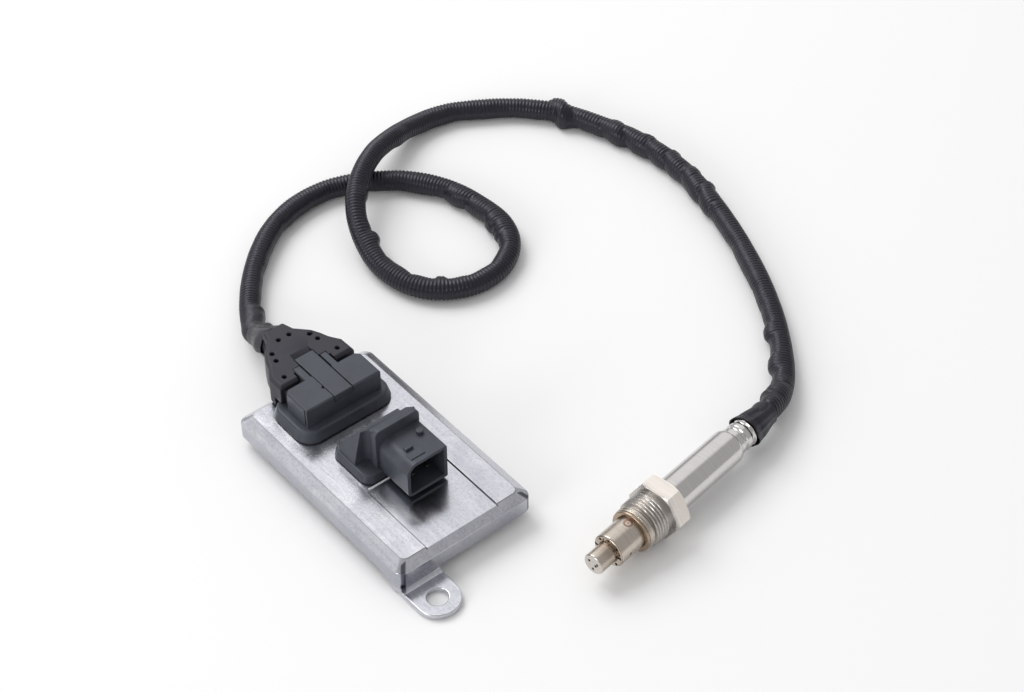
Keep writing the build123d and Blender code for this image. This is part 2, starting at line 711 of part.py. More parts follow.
# Plug housing: it covers the socket, and a tongue at the rear ties it into the boot
channel_floor = plug_top - latch_thickness - latch_gap
with BuildPart() as plug_housing:
    with BuildSketch(Plane.XY.offset(sensor_flange_top)):
        with BuildLine():
            Polyline(
                (plug_front, sensor_y - plug_width / 2),
                (plug_front, sensor_y + plug_width / 2),
                (plug_rear + plug_chamfer, sensor_y + plug_width / 2),
                (plug_rear, sensor_y + plug_width / 2 - plug_chamfer),
                (plug_rear, sensor_y - plug_width / 2 + plug_chamfer),
                (plug_rear + plug_chamfer, sensor_y - plug_width / 2),
                close=True,
            )
        make_face()
    extrude(amount=plug_top - sensor_flange_top)
    with Locations((plug_rear, sensor_y, plug_top)):
        Box(
            plug_rear - tongue_rear, tongue_width, tongue_height,
            align=(Align.MAX, Align.CENTER, Align.MAX),
        )
    chamfer(plug_housing.edges().group_by(Axis.Z)[-1], plug_edge)
    with BuildSketch(Plane.XY.offset(sensor_flange_top)):
        with Locations((plug_middle_x, sensor_y)):
            RectangleRounded(
                socket_length + 2 * plug_fit, socket_width + 2 * plug_fit, socket_corner
            )
            Rectangle(
                socket_length - 2 * (socket_wall + plug_fit),
                socket_width - 2 * (socket_wall + plug_fit),
                mode=Mode.SUBTRACT,
            )
    extrude(amount=socket_top + plug_fit - sensor_flange_top, mode=Mode.SUBTRACT)
    with BuildSketch(Plane.XY.offset(sensor_flange_top)):
        with Locations((plug_middle_x, sensor_y)):
            with GridLocations(sensor_pin_pitch_x, sensor_pin_pitch_y, 2, 4):
                Rectangle(terminal_side, terminal_side)
    extrude(amount=terminal_length, mode=Mode.SUBTRACT)
    with Locations((plug_front, sensor_y, plug_top)):
        Box(
            plug_front - tongue_rear, latch_width + 2 * latch_gap, plug_top - channel_floor,
            align=(Align.MAX, Align.CENTER, Align.MAX), mode=Mode.SUBTRACT,
        )
    with Locations((latch_pivot_x - latch_pivot_radius, sensor_y, plug_top)):
        Box(
            latch_pivot_x - tongue_rear, latch_width + 2 * latch_gap,
            latch_thickness + latch_travel_room,
            align=(Align.MAX, Align.CENTER, Align.MAX), mode=Mode.SUBTRACT,
        )
    with Locations((latch_slot_front, sensor_y, plug_top)):
        Box(
            latch_slot_front - tongue_rear, latch_width + 2 * latch_slot_width,
            latch_thickness + latch_travel_room,
            align=(Align.MAX, Align.CENTER, Align.MAX), mode=Mode.SUBTRACT,
        )
    with Locations(
        Plane(origin=(latch_pivot_x, sensor_y, plug_top - latch_pivot_drop), z_dir=(0, 1, 0))
    ):
        Cylinder(
            latch_pivot_radius + latch_pivot_play,
            latch_width + 2 * (latch_pivot_reach + latch_gap),
            mode=Mode.SUBTRACT,
        )
    with Locations((plug_front - corner_slot_setback, sensor_y - plug_width / 2, plug_top - plug_edge)):
        Box(
            corner_slot_width, 2 * corner_slot_depth, plug_top - sensor_flange_top - 2 * plug_edge,
            align=(Align.CENTER, Align.CENTER, Align.MAX), mode=Mode.SUBTRACT,
        )
    with Locations((sight_hole_x, sensor_y - latch_width / 2 - latch_gap, plug_top)):
        Cylinder(
            sight_hole_radius, 2 * sight_hole_depth, mode=Mode.SUBTRACT,
        )
plug_housing.part.label = "plug_housing"
export_step(plug_housing.part, "parts/plug_housing.step")

# Sockets in the plug that grip the header's pins
with BuildPart() as plug_terminals:
    with BuildSketch(Plane.XY.offset(sensor_flange_top)):
        with Locations((plug_middle_x, sensor_y)):
            with GridLocations(sensor_pin_pitch_x, sensor_pin_pitch_y, 2, 4):
                Rectangle(terminal_side, terminal_side)
            with GridLocations(sensor_pin_pitch_x, sensor_pin_pitch_y, 2, 4):
                Rectangle(pin_side, pin_side, mode=Mode.SUBTRACT)
    extrude(amount=terminal_length)
plug_terminals.part.label = "plug_terminals"
export_step(plug_terminals.part, "parts/plug_terminals.step")

# Latch lever: a flat bar with a pivot pin on each side, pressed at its rear end
with BuildPart() as plug_latch:
    with Locations((plug_front, sensor_y, plug_top)):
        Box(
            plug_front - latch_rear, latch_width, latch_thickness,
            align=(Align.MAX, Align.CENTER, Align.MAX),
        )
    chamfer(plug_latch.edges().group_by(Axis.Z)[-1], latch_edge)
    with Locations(
        Plane(origin=(latch_pivot_x, sensor_y, plug_top - latch_pivot_drop), z_dir=(0, 1, 0))
    ):
        Cylinder(latch_pivot_radius, latch_width + 2 * latch_pivot_reach)
plug_latch.part.label = "plug_latch"
export_step(plug_latch.part, "parts/plug_latch.step")

# Boot: fan-shaped overmoulding with mould pin holes, stepped round the plug's tongue
exit_direction = Vector(-cos(radians(neck_angle)), 0, -sin(radians(neck_angle)))
neck_root = Vector(boot_end + neck_root_inset, sensor_y, (boot_bottom + boot_top) / 2 - neck_root_drop)
cord_exit = neck_root + exit_direction * neck_length
with BuildPart() as plug_boot:
    left_side = [(x, sensor_y - half) for x, half in boot_outline]
    right_side = [(x, sensor_y + half) for x, half in boot_outline]
    with BuildSketch(Plane.XY.offset(boot_bottom)):
        with BuildLine():
            Polyline(
                (boot_front, sensor_y - boot_shoulder_half),
                *left_side,
                (boot_end, sensor_y - boot_end_half),
                (boot_end, sensor_y + boot_end_half),
                *reversed(right_side),
                (boot_front, sensor_y + boot_shoulder_half),
                close=True,
            )
        make_face()
    extrude(amount=boot_top - boot_bottom)
    chamfer(plug_boot.edges().group_by(Axis.Z)[-1], boot_edge)
    with Locations((plug_rear, sensor_y, sensor_flange_top)):
        Box(
            2 * boot_gap, plug_width - 2 * plug_chamfer, plug_top - boot_step_drop - sensor_flange_top,
            align=(Align.MAX, Align.CENTER, Align.MIN),
        )
    with Locations((sensor_x, sensor_y, sensor_flange_top)):
        Box(
            sensor_flange_length + 2 * plug_fit, housing_width, sensor_flange_top - boot_bottom,
            align=(Align.CENTER, Align.CENTER, Align.MAX), mode=Mode.SUBTRACT,
        )
    with Locations((plug_rear, sensor_y, plug_top - tongue_height)):
        Box(
            plug_rear - tongue_rear, tongue_width, tongue_height + plug_edge,
            align=(Align.MAX, Align.CENTER, Align.MIN), mode=Mode.SUBTRACT,
        )
    with Locations((plug_rear, sensor_y, plug_top)):
        Box(
            plug_rear - latch_rear + latch_gap, latch_width + 2 * latch_gap,
            latch_thickness + latch_travel_room,
            align=(Align.MAX, Align.CENTER, Align.MAX), mode=Mode.SUBTRACT,
        )
    for side in (-1, 1):
        slot_y = sensor_y + side * (tongue_width + tongue_slot_width) / 2
        with Locations((boot_front, slot_y, boot_top)):
            Box(
                tongue_slot_length, tongue_slot_width, tongue_slot_depth,
                align=(Align.MAX, Align.CENTER, Align.MAX), mode=Mode.SUBTRACT,
            )
    with BuildSketch(Plane.XZ.offset(-sensor_y)):
        with BuildLine():
            Polyline(
                (latch_rear, boot_top - thumb_recess_depth),
                (latch_rear, boot_top),
                (latch_rear - thumb_recess_length, boot_top),
                close=True,
            )
        make_face()
    extrude(amount=latch_width / 2, both=True, mode=Mode.SUBTRACT)
    with BuildSketch(Plane.XY.offset(boot_top)):
        for pin_x, pin_half in mould_pins:
            with Locations((pin_x, sensor_y - pin_half), (pin_x, sensor_y + pin_half)):
                Circle(mould_pin_radius)
    extrude(amount=-mould_pin_depth, mode=Mode.SUBTRACT)
    with BuildSketch(Plane(origin=neck_root, z_dir=exit_direction)):
        Circle(neck_radius)
    with BuildSketch(Plane(origin=cord_exit, z_dir=exit_direction)):
        Circle(neck_tip_radius)
    loft()
plug_boot.part.label = "plug_boot"
export_step(plug_boot.part, "parts/plug_boot.step")

# Tip tube: the inner protection tube, with gas holes in its end face and side
tube_rear = flange_rear - flange_length
with BuildPart() as tip_tube:
    with BuildSketch(probe_profile):
        ring_profile(0, tip_radius, tip_station, tube_rear)
        ring_profile(0, tip_radius - tube_wall, tip_station + 2 * tube_wall, tube_rear)
    revolve(axis=probe_axis)
    fillet(tip_tube.edges().sort_by(probe_axis)[0], tip_edge)
    with BuildSketch(probe_section(tip_station + 2 * tube_wall)):
        Circle(tip_radius - tube_wall)
    extrude(amount=tube_rear - tip_station, mode=Mode.SUBTRACT)
    with BuildSketch(probe_section(tip_station)):
        with PolarLocations(tip_hole_ring, tip_hole_count, start_angle=90):
            Circle(tip_hole_radius)
    extrude(amount=4 * tube_wall, mode=Mode.SUBTRACT)
    for turn in range(tip_hole_count):
        side_plane = probe_section(tip_station + tip_radius)
        side_plane = side_plane.rotated((0, 0, 360 / tip_hole_count * turn + tip_hole_turn))
        with BuildSketch(Plane(side_plane.origin, x_dir=side_plane.z_dir, z_dir=side_plane.x_dir)):
            Circle(tip_hole_radius)
        extrude(amount=2 * tip_radius, mode=Mode.SUBTRACT)
tip_tube.part.label = "tip_tube"
export_step(tip_tube.part, "parts/tip_tube.step")

# Outer protection tube, with a ring of holes in its front face and one near its front edge
with BuildPart() as outer_tube:
    with BuildSketch(probe_profile):
        ring_profile(tip_radius + play, outer_radius, outer_station, tube_rear)
    revolve(axis=probe_axis)
    fillet(outer_tube.edges().group_by(probe_axis)[0].sort_by(SortBy.RADIUS)[-1], outer_edge)
    with BuildSketch(probe_section(outer_station + 2 * tube_wall)):
        Circle(outer_radius - tube_wall)
    extrude(amount=tube_rear - outer_station, mode=Mode.SUBTRACT)
    with BuildSketch(probe_section(outer_station)):
        with PolarLocations((tip_radius + outer_radius) / 2, outer_hole_count):
            Circle(outer_hole_radius)
    extrude(amount=4 * tube_wall, mode=Mode.SUBTRACT)
    for turn in range(outer_hole_count // 2):
        side_plane = probe_section(outer_station + 2 * outer_edge + outer_hole_radius)
        side_plane = side_plane.rotated((0, 0, 360 / outer_hole_count * turn + outer_hole_turn))
        with BuildSketch(Plane(side_plane.origin, x_dir=side_plane.z_dir, z_dir=side_plane.x_dir)):
            Circle(outer_hole_radius)
        extrude(amount=2 * outer_radius, both=True, mode=Mode.SUBTRACT)
    with BuildSketch(probe_section(outer_station)):
        Circle(tip_radius + play)
    extrude(amount=tube_rear - outer_station, mode=Mode.SUBTRACT)
outer_tube.part.label = "outer_tube"
export_step(outer_tube.part, "parts/outer_tube.step")

# Sensor body: seat for the protection tubes, grooved flange, stem through the nut, sleeve spigot
spigot_radius = stem_radius - sleeve_wall - play
with BuildPart() as sensor_body:
    with BuildSketch(probe_profile):
        ring_profile(bore_radius, flange_radius, flange_rear - flange_length, flange_rear)
        ring_profile(bore_radius, stem_radius, flange_rear, stem_rear)
        ring_profile(bore_radius, spigot_radius, stem_rear, spigot_rear)
        ring_profile(
            tip_radius + play, outer_radius - tube_wall - play, tube_rear - outer_seat, tube_rear
        )
        ring_profile(tip_radius + play, bore_radius, tube_rear, tube_rear + tube_wall)
        with Locations((flange_radius, flange_rear - flange_length / 2)):
            Circle(flange_groove, mode=Mode.SUBTRACT)
    revolve(axis=probe_axis)
sensor_body.part.label = "sensor_body"
export_step(sensor_body.part, "parts/sensor_body.step")

# Sealing ring in front of the flange
with BuildPart() as gasket_ring:
    with BuildSketch(probe_profile) as gasket_section:
        ring_profile(outer_radius + play, gasket_radius, tube_rear - gasket_length, tube_rear)
        chamfer(gasket_section.vertices().group_by(Axis.X)[-1], gasket_edge)
    revolve(axis=probe_axis)
gasket_ring.part.label = "gasket_ring"
export_step(gasket_ring.part, "parts/gasket_ring.step")

# Union nut: threaded barrel with a chamfered front and a relief, and a hexagon chamfered both ways
nut_bore = stem_radius + nut_bore_clearance
with BuildPart() as union_nut:
    with BuildSketch(probe_section(0)):
        RegularPolygon(hex_flats / 2, 6, major_radius=False)
    extrude(amount=hex_length)
    with BuildSketch(probe_profile):
        with BuildLine():
            corner_radius = hex_flats / 2 / cos(radians(30))
            Polyline(
                (0, 0),
                (corner_radius - hex_chamfer, 0),
                (corner_radius, hex_chamfer * tan(radians(30))),
                (corner_radius, hex_length - hex_chamfer * tan(radians(30))),
                (corner_radius - hex_chamfer, hex_length),
                (0, hex_length),
                close=True,
            )
        make_face()
    revolve(axis=probe_axis, mode=Mode.INTERSECT)
    with BuildSketch(probe_profile):
        with BuildLine():
            Polyline(
                (0, thread_front),
                (thread_radius - thread_chamfer, thread_front),
                (thread_radius, thread_front + thread_chamfer),
                (thread_radius, -thread_relief_length),
                (thread_radius - thread_relief_depth, -thread_relief_length + thread_relief_run),
                (thread_radius - thread_relief_depth, 0),
                (0, 0),
                close=True,
            )
        make_face()
    revolve(axis=probe_axis)
    with BuildSketch(probe_profile):
        ring_profile(0, nut_bore, thread_front, hex_length)
    revolve(axis=probe_axis, mode=Mode.SUBTRACT)
union_nut.part.label = "union_nut"
export_step(union_nut.part, "parts/union_nut.step")

# Rear sleeve: drawn tube, rounded shoulder and a neck crimped twice onto the cable seal
with BuildPart() as rear_sleeve:
    with BuildSketch(probe_profile) as sleeve_section:
        ring_profile(0, stem_radius, sleeve_station, sleeve_shoulder)
        fillet(
            sleeve_section.vertices().sort_by_distance((stem_radius, sleeve_shoulder))[0], shoulder_round
        )
        ring_profile(0, crimp_radius, sleeve_station, crimp_end)
        for groove in crimp_grooves:
            with Locations((crimp_radius, groove)):
                Rectangle(2 * crimp_groove, crimp_groove_length, mode=Mode.SUBTRACT)
    revolve(axis=probe_axis)
    with BuildSketch(probe_section(sleeve_station)):
        Circle(stem_radius - sleeve_wall)
    extrude(amount=sleeve_shoulder - shoulder_round - sleeve_station, mode=Mode.SUBTRACT)
    with BuildSketch(probe_section(sleeve_station)):
        Circle(crimp_radius - crimp_groove - sleeve_wall)
    extrude(amount=crimp_end - sleeve_station, mode=Mode.SUBTRACT)
rear_sleeve.part.label = "rear_sleeve"
export_step(rear_sleeve.part, "parts/rear_sleeve.step")

# Inside the probe, front to rear: ceramic, packed powder and a second ceramic round the element
body_front = tube_rear + tube_wall
with BuildPart() as front_ceramic:
    with BuildSketch(probe_section(body_front)):
        Circle(bore_radius - play)
        Rectangle(element_width + play, element_thickness + play, mode=Mode.SUBTRACT)
    extrude(amount=front_ceramic_length)
front_ceramic.part.label = "front_ceramic"
export_step(front_ceramic.part, "parts/front_ceramic.step")

with BuildPart() as powder_seal:
    with BuildSketch(probe_section(body_front + front_ceramic_length)):
        Circle(bore_radius - play)
        Rectangle(element_width + play, element_thickness + play, mode=Mode.SUBTRACT)
    extrude(amount=talc_length)
powder_seal.part.label = "powder_seal"
export_step(powder_seal.part, "parts/powder_seal.step")

with BuildPart() as rear_ceramic:
    with BuildSketch(probe_section(body_front + front_ceramic_length + talc_length)):
        Circle(bore_radius - play)
        Rectangle(element_width + play, element_thickness + play, mode=Mode.SUBTRACT)
    extrude(amount=rear_ceramic_length)
rear_ceramic.part.label = "rear_ceramic"
export_step(rear_ceramic.part, "parts/rear_ceramic.step")

# Sensing element: a thin ceramic strip from the tip chamber to the contacts
with BuildPart() as sensing_element:
    with BuildSketch(probe_section(element_front)):
        Rectangle(element_width, element_thickness)
    extrude(amount=element_rear - element_front)
sensing_element.part.label = "sensing_element"
export_step(sensing_element.part, "parts/sensing_element.step")

# Contact holder: a ceramic block with a slot for the element and its spring contacts
contact_slot = element_thickness + 2 * contact_thickness
contact_row = 2 * contact_pitch + contact_width
holder_slot = max(element_width, contact_row) + 2 * play
with BuildPart() as contact_holder:
    with BuildSketch(probe_section(holder_front)):
        Circle(holder_radius)
        Rectangle(holder_slot, contact_slot, mode=Mode.SUBTRACT)
    extrude(amount=element_rear - holder_front + play)
    with BuildSketch(probe_section(element_rear + play)):
        Circle(holder_radius)
        for side in (-1, 1):
            with Locations((0, side * (element_thickness + contact_thickness) / 2)):
                with GridLocations(contact_pitch, contact_pitch, 3, 1):
                    Rectangle(contact_width, contact_thickness, mode=Mode.SUBTRACT)
    extrude(amount=holder_rear - element_rear - play)
contact_holder.part.label = "contact_holder"
export_step(contact_holder.part, "parts/contact_holder.step")

with BuildPart() as contact_springs:
    with BuildSketch(probe_section(element_rear - contact_length / 2)):
        for side in (-1, 1):
            with Locations((0, side * (element_thickness + contact_thickness) / 2)):
                with GridLocations(contact_pitch, contact_pitch, 3, 1):
                    Rectangle(contact_width, contact_thickness)
    extrude(amount=contact_length)
contact_springs.part.label = "contact_springs"
export_step(contact_springs.part, "parts/contact_springs.step")

# Rubber seal in the crimped neck, where the harness enters
with BuildPart() as cable_seal:
    with BuildSketch(probe_section(holder_rear)):
        Circle(crimp_radius - crimp_groove - sleeve_wall - play)
    extrude(amount=crimp_end - holder_rear)
cable_seal.part.label = "cable_seal"
export_step(cable_seal.part, "parts/cable_seal.step")

# Cuff of the harness, drawn over the end of the crimped neck
with BuildPart() as harness_cuff:
    with BuildSketch(probe_profile):
        with BuildLine():
            Polyline(
                (crimp_radius + play, cuff_front),
                (cuff_radius, cuff_front),
                (cuff_radius, crimp_end + cuff_straight),
                (cuff_tail_radius + play, cuff_rear),
                (cord_diameter / 2 + play, cuff_rear),
                (cord_diameter / 2 + play, crimp_end + play),
                (crimp_radius + play, crimp_end + play),
                close=True,
            )
        make_face()
    revolve(axis=probe_axis)
harness_cuff.part.label = "harness_cuff"
export_step(harness_cuff.part, "parts/harness_cuff.step")

# Harness: straight runs joined by tangent arcs, each as large as its two runs allow
route = [
    cord_exit,
    cord_exit + exit_direction * cord_lead_in,
    *[Vector(*point) for point in route_middle],
    Vector(*probe_point(crimp_end + cord_lead_out)),
    Vector(*probe_point(crimp_end)),
]
route_radii = []
for before, here, after in zip(route, route[1:], route[2:]):
    turn = (here - before).get_angle(after - here)
    shorter = min((here - before).length, (after - here).length)
    route_radii.append(cord_run_share * shorter / tan(radians(turn / 2)))
print("harness arc radii:", [round(radius, 1) for radius in route_radii])
with BuildLine() as harness_route:
    FilletPolyline(*route, radius=route_radii)
harness_path = harness_route.wires()[0]
with BuildPart() as harness_conduit:
    with BuildSketch(Plane(origin=cord_exit, z_dir=exit_direction)):
        Circle(cord_diameter / 2)
    sweep(path=harness_path)
harness_conduit.part.label = "harness_conduit"
export_step(harness_conduit.part, "parts/harness_conduit.step")
straight_volume = pi * cord_diameter**2 / 4 * harness_path.length
print("harness length:", round(harness_path.length, 1))
print("volume over section times length:", round(harness_conduit.part.volume / straight_volume, 4))
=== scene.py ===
import math
import bmesh
import bpy
import numpy as np
from mathutils import Matrix, Vector


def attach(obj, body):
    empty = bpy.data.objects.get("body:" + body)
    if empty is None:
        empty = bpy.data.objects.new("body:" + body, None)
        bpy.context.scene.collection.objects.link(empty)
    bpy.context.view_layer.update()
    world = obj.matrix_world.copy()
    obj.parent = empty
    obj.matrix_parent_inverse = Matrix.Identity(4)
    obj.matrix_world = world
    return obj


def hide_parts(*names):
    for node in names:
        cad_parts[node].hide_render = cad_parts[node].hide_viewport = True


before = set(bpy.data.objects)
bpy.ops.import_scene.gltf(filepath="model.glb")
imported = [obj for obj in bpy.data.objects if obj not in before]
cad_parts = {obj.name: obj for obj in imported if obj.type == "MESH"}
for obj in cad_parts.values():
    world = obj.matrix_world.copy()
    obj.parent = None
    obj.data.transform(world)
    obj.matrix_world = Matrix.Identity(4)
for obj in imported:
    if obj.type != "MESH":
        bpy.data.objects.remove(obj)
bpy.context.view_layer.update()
mm = 0.001
print("frame loaded")

# Nitrogen oxide sensor. Lengths in the dictionaries are millimetres, in the studio's metres; angles
# are degrees.


# Camera, at the place and lens worked out from the photograph's straight edges
camera = {
    "place": (516.3, -356.5, 674.7),
    "azimuth": 50.71,
    "down": 43.95,
    "roll": -0.32,
    "focal": 81.6,
    "filmWidth": 36.0,
    "nearest": 10.0,
    "farthest": 20000.0,
}


def addCamera(c):
    azimuth, down, roll = (math.radians(c[k]) for k in ("azimuth", "down", "roll"))
    across = math.cos(down)
    ahead = Vector((-math.sin(azimuth) * across, math.cos(azimuth) * across, -math.sin(down)))
    level = ahead.cross(Vector((0, 0, 1))).normalized()
    top = level.cross(ahead)
    right = level * math.cos(roll) + top * math.sin(roll)
    up = top * math.cos(roll) - level * math.sin(roll)
    data = bpy.data.cameras.new("studioCamera")
    data.sensor_fit = "HORIZONTAL"
    data.sensor_width = c["filmWidth"]
    data.lens = c["focal"]
    data.clip_start = c["nearest"] * mm
    data.clip_end = c["farthest"] * mm
    holder = bpy.data.objects.new("studioCamera", data)
    turn = Matrix((right, up, -ahead)).transposed().to_4x4()
    holder.matrix_world = Matrix.Translation(Vector(c["place"]) * mm) @ turn
    bpy.context.scene.collection.objects.link(holder)
    bpy.context.scene.camera = holder


addCamera(camera)
print("camera placed")


# Mesh helpers

def newObject(name, mesh):
    piece = bpy.data.objects.new(name, mesh)
    bpy.context.scene.collection.objects.link(piece)
    return piece


def smoothShade(mesh, angle=None):
    # every face is smooth; edges sharper than the angle stay sharp
    mesh.polygons.foreach_set("use_smooth", np.ones(len(mesh.polygons), bool))
    if angle is not None:
        mesh.set_sharp_from_angle(angle=math.radians(angle))
    mesh.update()


def gridMesh(name, points, closeRows=False, closeColumns=False, caps=False, turnOver=False):
    # points[i, j] is the surface at row i and column j; each cell between neighbours is one quad,
    # a closed direction joins its last line to its first, and caps close the first and last rows
    rows, columns = points.shape[:2]
    index = np.arange(rows * columns).reshape(rows, columns)
    if closeRows:
        index = np.concatenate([index, index[:1]], 0)
    if closeColumns:
        index = np.concatenate([index, index[:, :1]], 1)
    corners = index[:-1, :-1], index[:-1, 1:], index[1:, 1:], index[1:, :-1]
    faces = np.stack(corners, -1).reshape(-1, 4).tolist()
    if caps:
        faces += [index[0, :columns][::-1].tolist(), index[-1, :columns].tolist()]
    if turnOver:
        faces = [face[::-1] for face in faces]
    mesh = bpy.data.meshes.new(name)
    mesh.from_pydata((points.reshape(-1, 3) * mm).tolist(), [], faces)
    return mesh


def fixNormals(mesh):
    # joins doubles and turns every face outwards
    tidy = bmesh.new()
    tidy.from_mesh(mesh)
    bmesh.ops.remove_doubles(tidy, verts=tidy.verts, dist=1e-7)
    bmesh.ops.recalc_face_normals(tidy, faces=tidy.faces)
    tidy.to_mesh(mesh)
    tidy.free()
    mesh.update()


def readBack(items, name, width=3, kind=float):
    # one property of every item, as the rows of an array
    found = np.zeros(len(items) * width, kind)
    items.foreach_get(name, found)
    return found.reshape(-1, width)


def roundAngles(count):
    return np.linspace(0, 2 * np.pi, count, endpoint=False)[None, :]


def waves(value, seeds):
    # smooth repeatable unevenness: the mean of sines whose lengths and starts come from the seeds
    total = np.zeros_like(value)
    for length, start in seeds:
        total += np.sin(2 * np.pi * value / length + start)
    return total / len(seeds)


def roundWaves(angle, rows, shift=0.0):
    # waves round a piece: the sum of height * cos(count * angle + start + shift)
    return sum(height * np.cos(count * angle + start + shift) for count, start, height in rows)


def roundBell(angle, way, width):
    # exponent of a bell round a piece: the square of the turn from the way, over the width, in degrees
    away = np.abs((angle - math.radians(way) + np.pi) % (2 * np.pi) - np.pi)
    return (away / math.radians(width)) ** 2


def softStep(value, low, high):
    # 0 below low, 1 above high, 3t^2 - 2t^3 between
    t = np.clip((value - low) / (high - low), 0, 1)
    return t * t * (3 - 2 * t)


def runAlong(line):
    # how far along the line each of its points is
    return np.concatenate([[0], np.cumsum(np.linalg.norm(np.diff(line, axis=0), axis=1))])


def pointsAlong(line, places):
    # points of the line at the places along it
    run = runAlong(line)
    return np.stack([np.interp(places, run, line[:, k]) for k in range(3)], -1)


# Probe: the middle of the hexagon's front, and which way the axis runs
probe = {
    "hexX": 88.9,
    "hexY": 62.6,
    "axisHeight": 11.0,
    "heading": 98.6,
}
probeHeading = math.radians(probe["heading"])
probeDirection = np.array([math.cos(probeHeading), math.sin(probeHeading), 0.0])
probeSide = np.array([probeDirection[1], -probeDirection[0], 0.0])
probeOrigin = np.array([probe["hexX"], probe["hexY"], probe["axisHeight"]])


def probePoint(station):
    # station runs along the probe's axis, from the hexagon's front towards the harness
    return probeOrigin + np.asarray(station)[..., None] * probeDirection


# Harness: one limp cord from the boot's mouth to the crimped neck of the probe
harness = {
    "diameter": 9.0,
    "mouth": (-78.913, 0.3, 17.524),  # where it leaves the boot
    "mouthDown": 25.0,
    "leadIn": 11.0,
    "leadOut": 12.5,
    "neckEnd": 59.6,  # station of the crimped neck's end
    "floorRun": 4.6,
    "ribPitch": 1.6,
    "samplesPerRib": 6,
    "around": 32,
    "ribHeight": 0.42,
    "ribPower": 0.7,
    "ribMiddle": 0.6,
    "pressedRibs": 0.66,  # share of a rib's height that the film takes away
    "conduitRadius": 4.42,
    "lineBlur": 4,
    "bendBlur": 40,
    "fullBend": 0.008,  # turn per millimetre at which the film hangs in full
    "lumpSlant": 2.6,
    "lumpWander": 1.6,
    "lumpPower": 0.55,
    "straightFilm": 0.55,  # share of its height that the film keeps on a straight run
    "foldTwist": 0.35,
    "foldPress": 0.7,
    "seamHeight": 0.16,
    "seams": ((11.0, 0.3), (17.3, 1.9), (29.0, 4.0)),
    "lowest": 0.12,
}
low = harness["floorRun"]
dip = math.radians(harness["mouthDown"])
mouth = np.array(harness["mouth"])
routePoints = [
    tuple(mouth),
    tuple(mouth + harness["leadIn"] * np.array([-math.cos(dip), 0, -math.sin(dip)])),
    (-97.5, 5.5, 7.6), (-109.5, 12.2, low), (-121.5, 21.0, low), (-134.5, 33.5, low),
    (-146.0, 48.5, low), (-152.8, 66.0, low), (-153.0, 85.0, low), (-146.0, 101.5, low),
    (-134.5, 116.5, low), (-118.5, 126.5, low), (-101.5, 130.0, low), (-83.1, 131.0, low),
    (-67.6, 122.1, low), (-59.8, 106.0, low), (-62.3, 88.3, low), (-74.2, 75.0, low),
    (-91.6, 70.6, low), (-108.0, 72.8, 6.6), (-122.5, 78.0, 12.0), (-136.5, 89.0, 14.8),
    (-149.5, 107.0, 14.6), (-157.5, 123.0, 10.2), (-163.5, 140.0, 5.4), (-162.5, 158.0, low),
    (-153.5, 174.5, low), (-141.5, 190.0, low), (-126.5, 201.5, low), (-108.5, 208.5, low),
    (-89.5, 214.5, low), (-70.0, 216.3, low), (-50.0, 214.5, low), (-27.0, 208.0, low),
    (-5.0, 200.0, low), (16.5, 190.5, low), (36.0, 179.5, low), (51.0, 169.0, low),
    (63.5, 158.5, 5.0), (73.0, 147.0, 7.4),
    tuple(probePoint(harness["neckEnd"] + harness["leadOut"])),
    tuple(probePoint(harness["neckEnd"])),
]


def routeLine(points):
    # the smooth line whose control points are the route's points, read back as a row of points
    curve = bpy.data.curves.new("harnessRoute", "CURVE")
    curve.dimensions = "3D"
    spline = curve.splines.new("NURBS")
    spline.points.add(len(points) - 1)
    for knot, place in zip(spline.points, points):
        knot.co = (*(Vector(place) * mm), 1)
    spline.order_u = 3
    spline.use_endpoint_u = True
    spline.resolution_u = 24
    holder = newObject("harnessRoute", curve)
    bpy.context.view_layer.update()
    line = bpy.data.meshes.new_from_object(holder.evaluated_get(bpy.context.evaluated_depsgraph_get()))
    found = readBack(line.vertices, "co") / mm
    bpy.data.objects.remove(holder)
    bpy.data.curves.remove(curve)
    bpy.data.meshes.remove(line)
    return found


def evenly(line, step):
    # the line again, with points an even step apart along it
    gaps = np.linalg.norm(np.diff(line, axis=0), axis=1)
    line = line[np.concatenate([[True], gaps > 1e-6])]
    length = runAlong(line)[-1]
    places = np.linspace(0, length, int(round(length / step)) + 1)
    return pointsAlong(line, places), places


def blurred(values, reach):
    # average over the reach on each side, weighted by a raised cosine, with the ends held
    kernel = np.hanning(2 * reach + 3)[1:-1]
    kernel /= kernel.sum()
    padded = np.concatenate([np.repeat(values[:1], reach, 0), values, np.repeat(values[-1:], reach, 0)])
    return np.stack([np.convolve(column, kernel, "valid") for column in padded.T], 1)


# Film: where it hangs loose on the inside of a bend, in lumps with pinches between them.
# Each row is start and end along the harness, how far it stands off, the lumps' length, and the
# share of the way round that it covers
looseFilm = [
    (4, 34, 1.5, 13.0, 0.45),
    (40, 140, 0.5, 31.0, 0.40),
    (143, 178, 0.9, 22.0, 0.42),
    (178, 232, 1.7, 14.0, 0.46),
    (232, 262, 0.7, 19.0, 0.40),
    (262, 330, 1.2, 17.0, 0.42),
    (395, 478, 0.8, 27.0, 0.45),
    (483, 588, 1.9, 13.0, 0.56),
    (588, 640, 0.9, 29.0, 0.50),
    (640, 706, 0.9, 21.0, 0.40),
    (700, 736, 1.5, 9.0, 0.70),
]
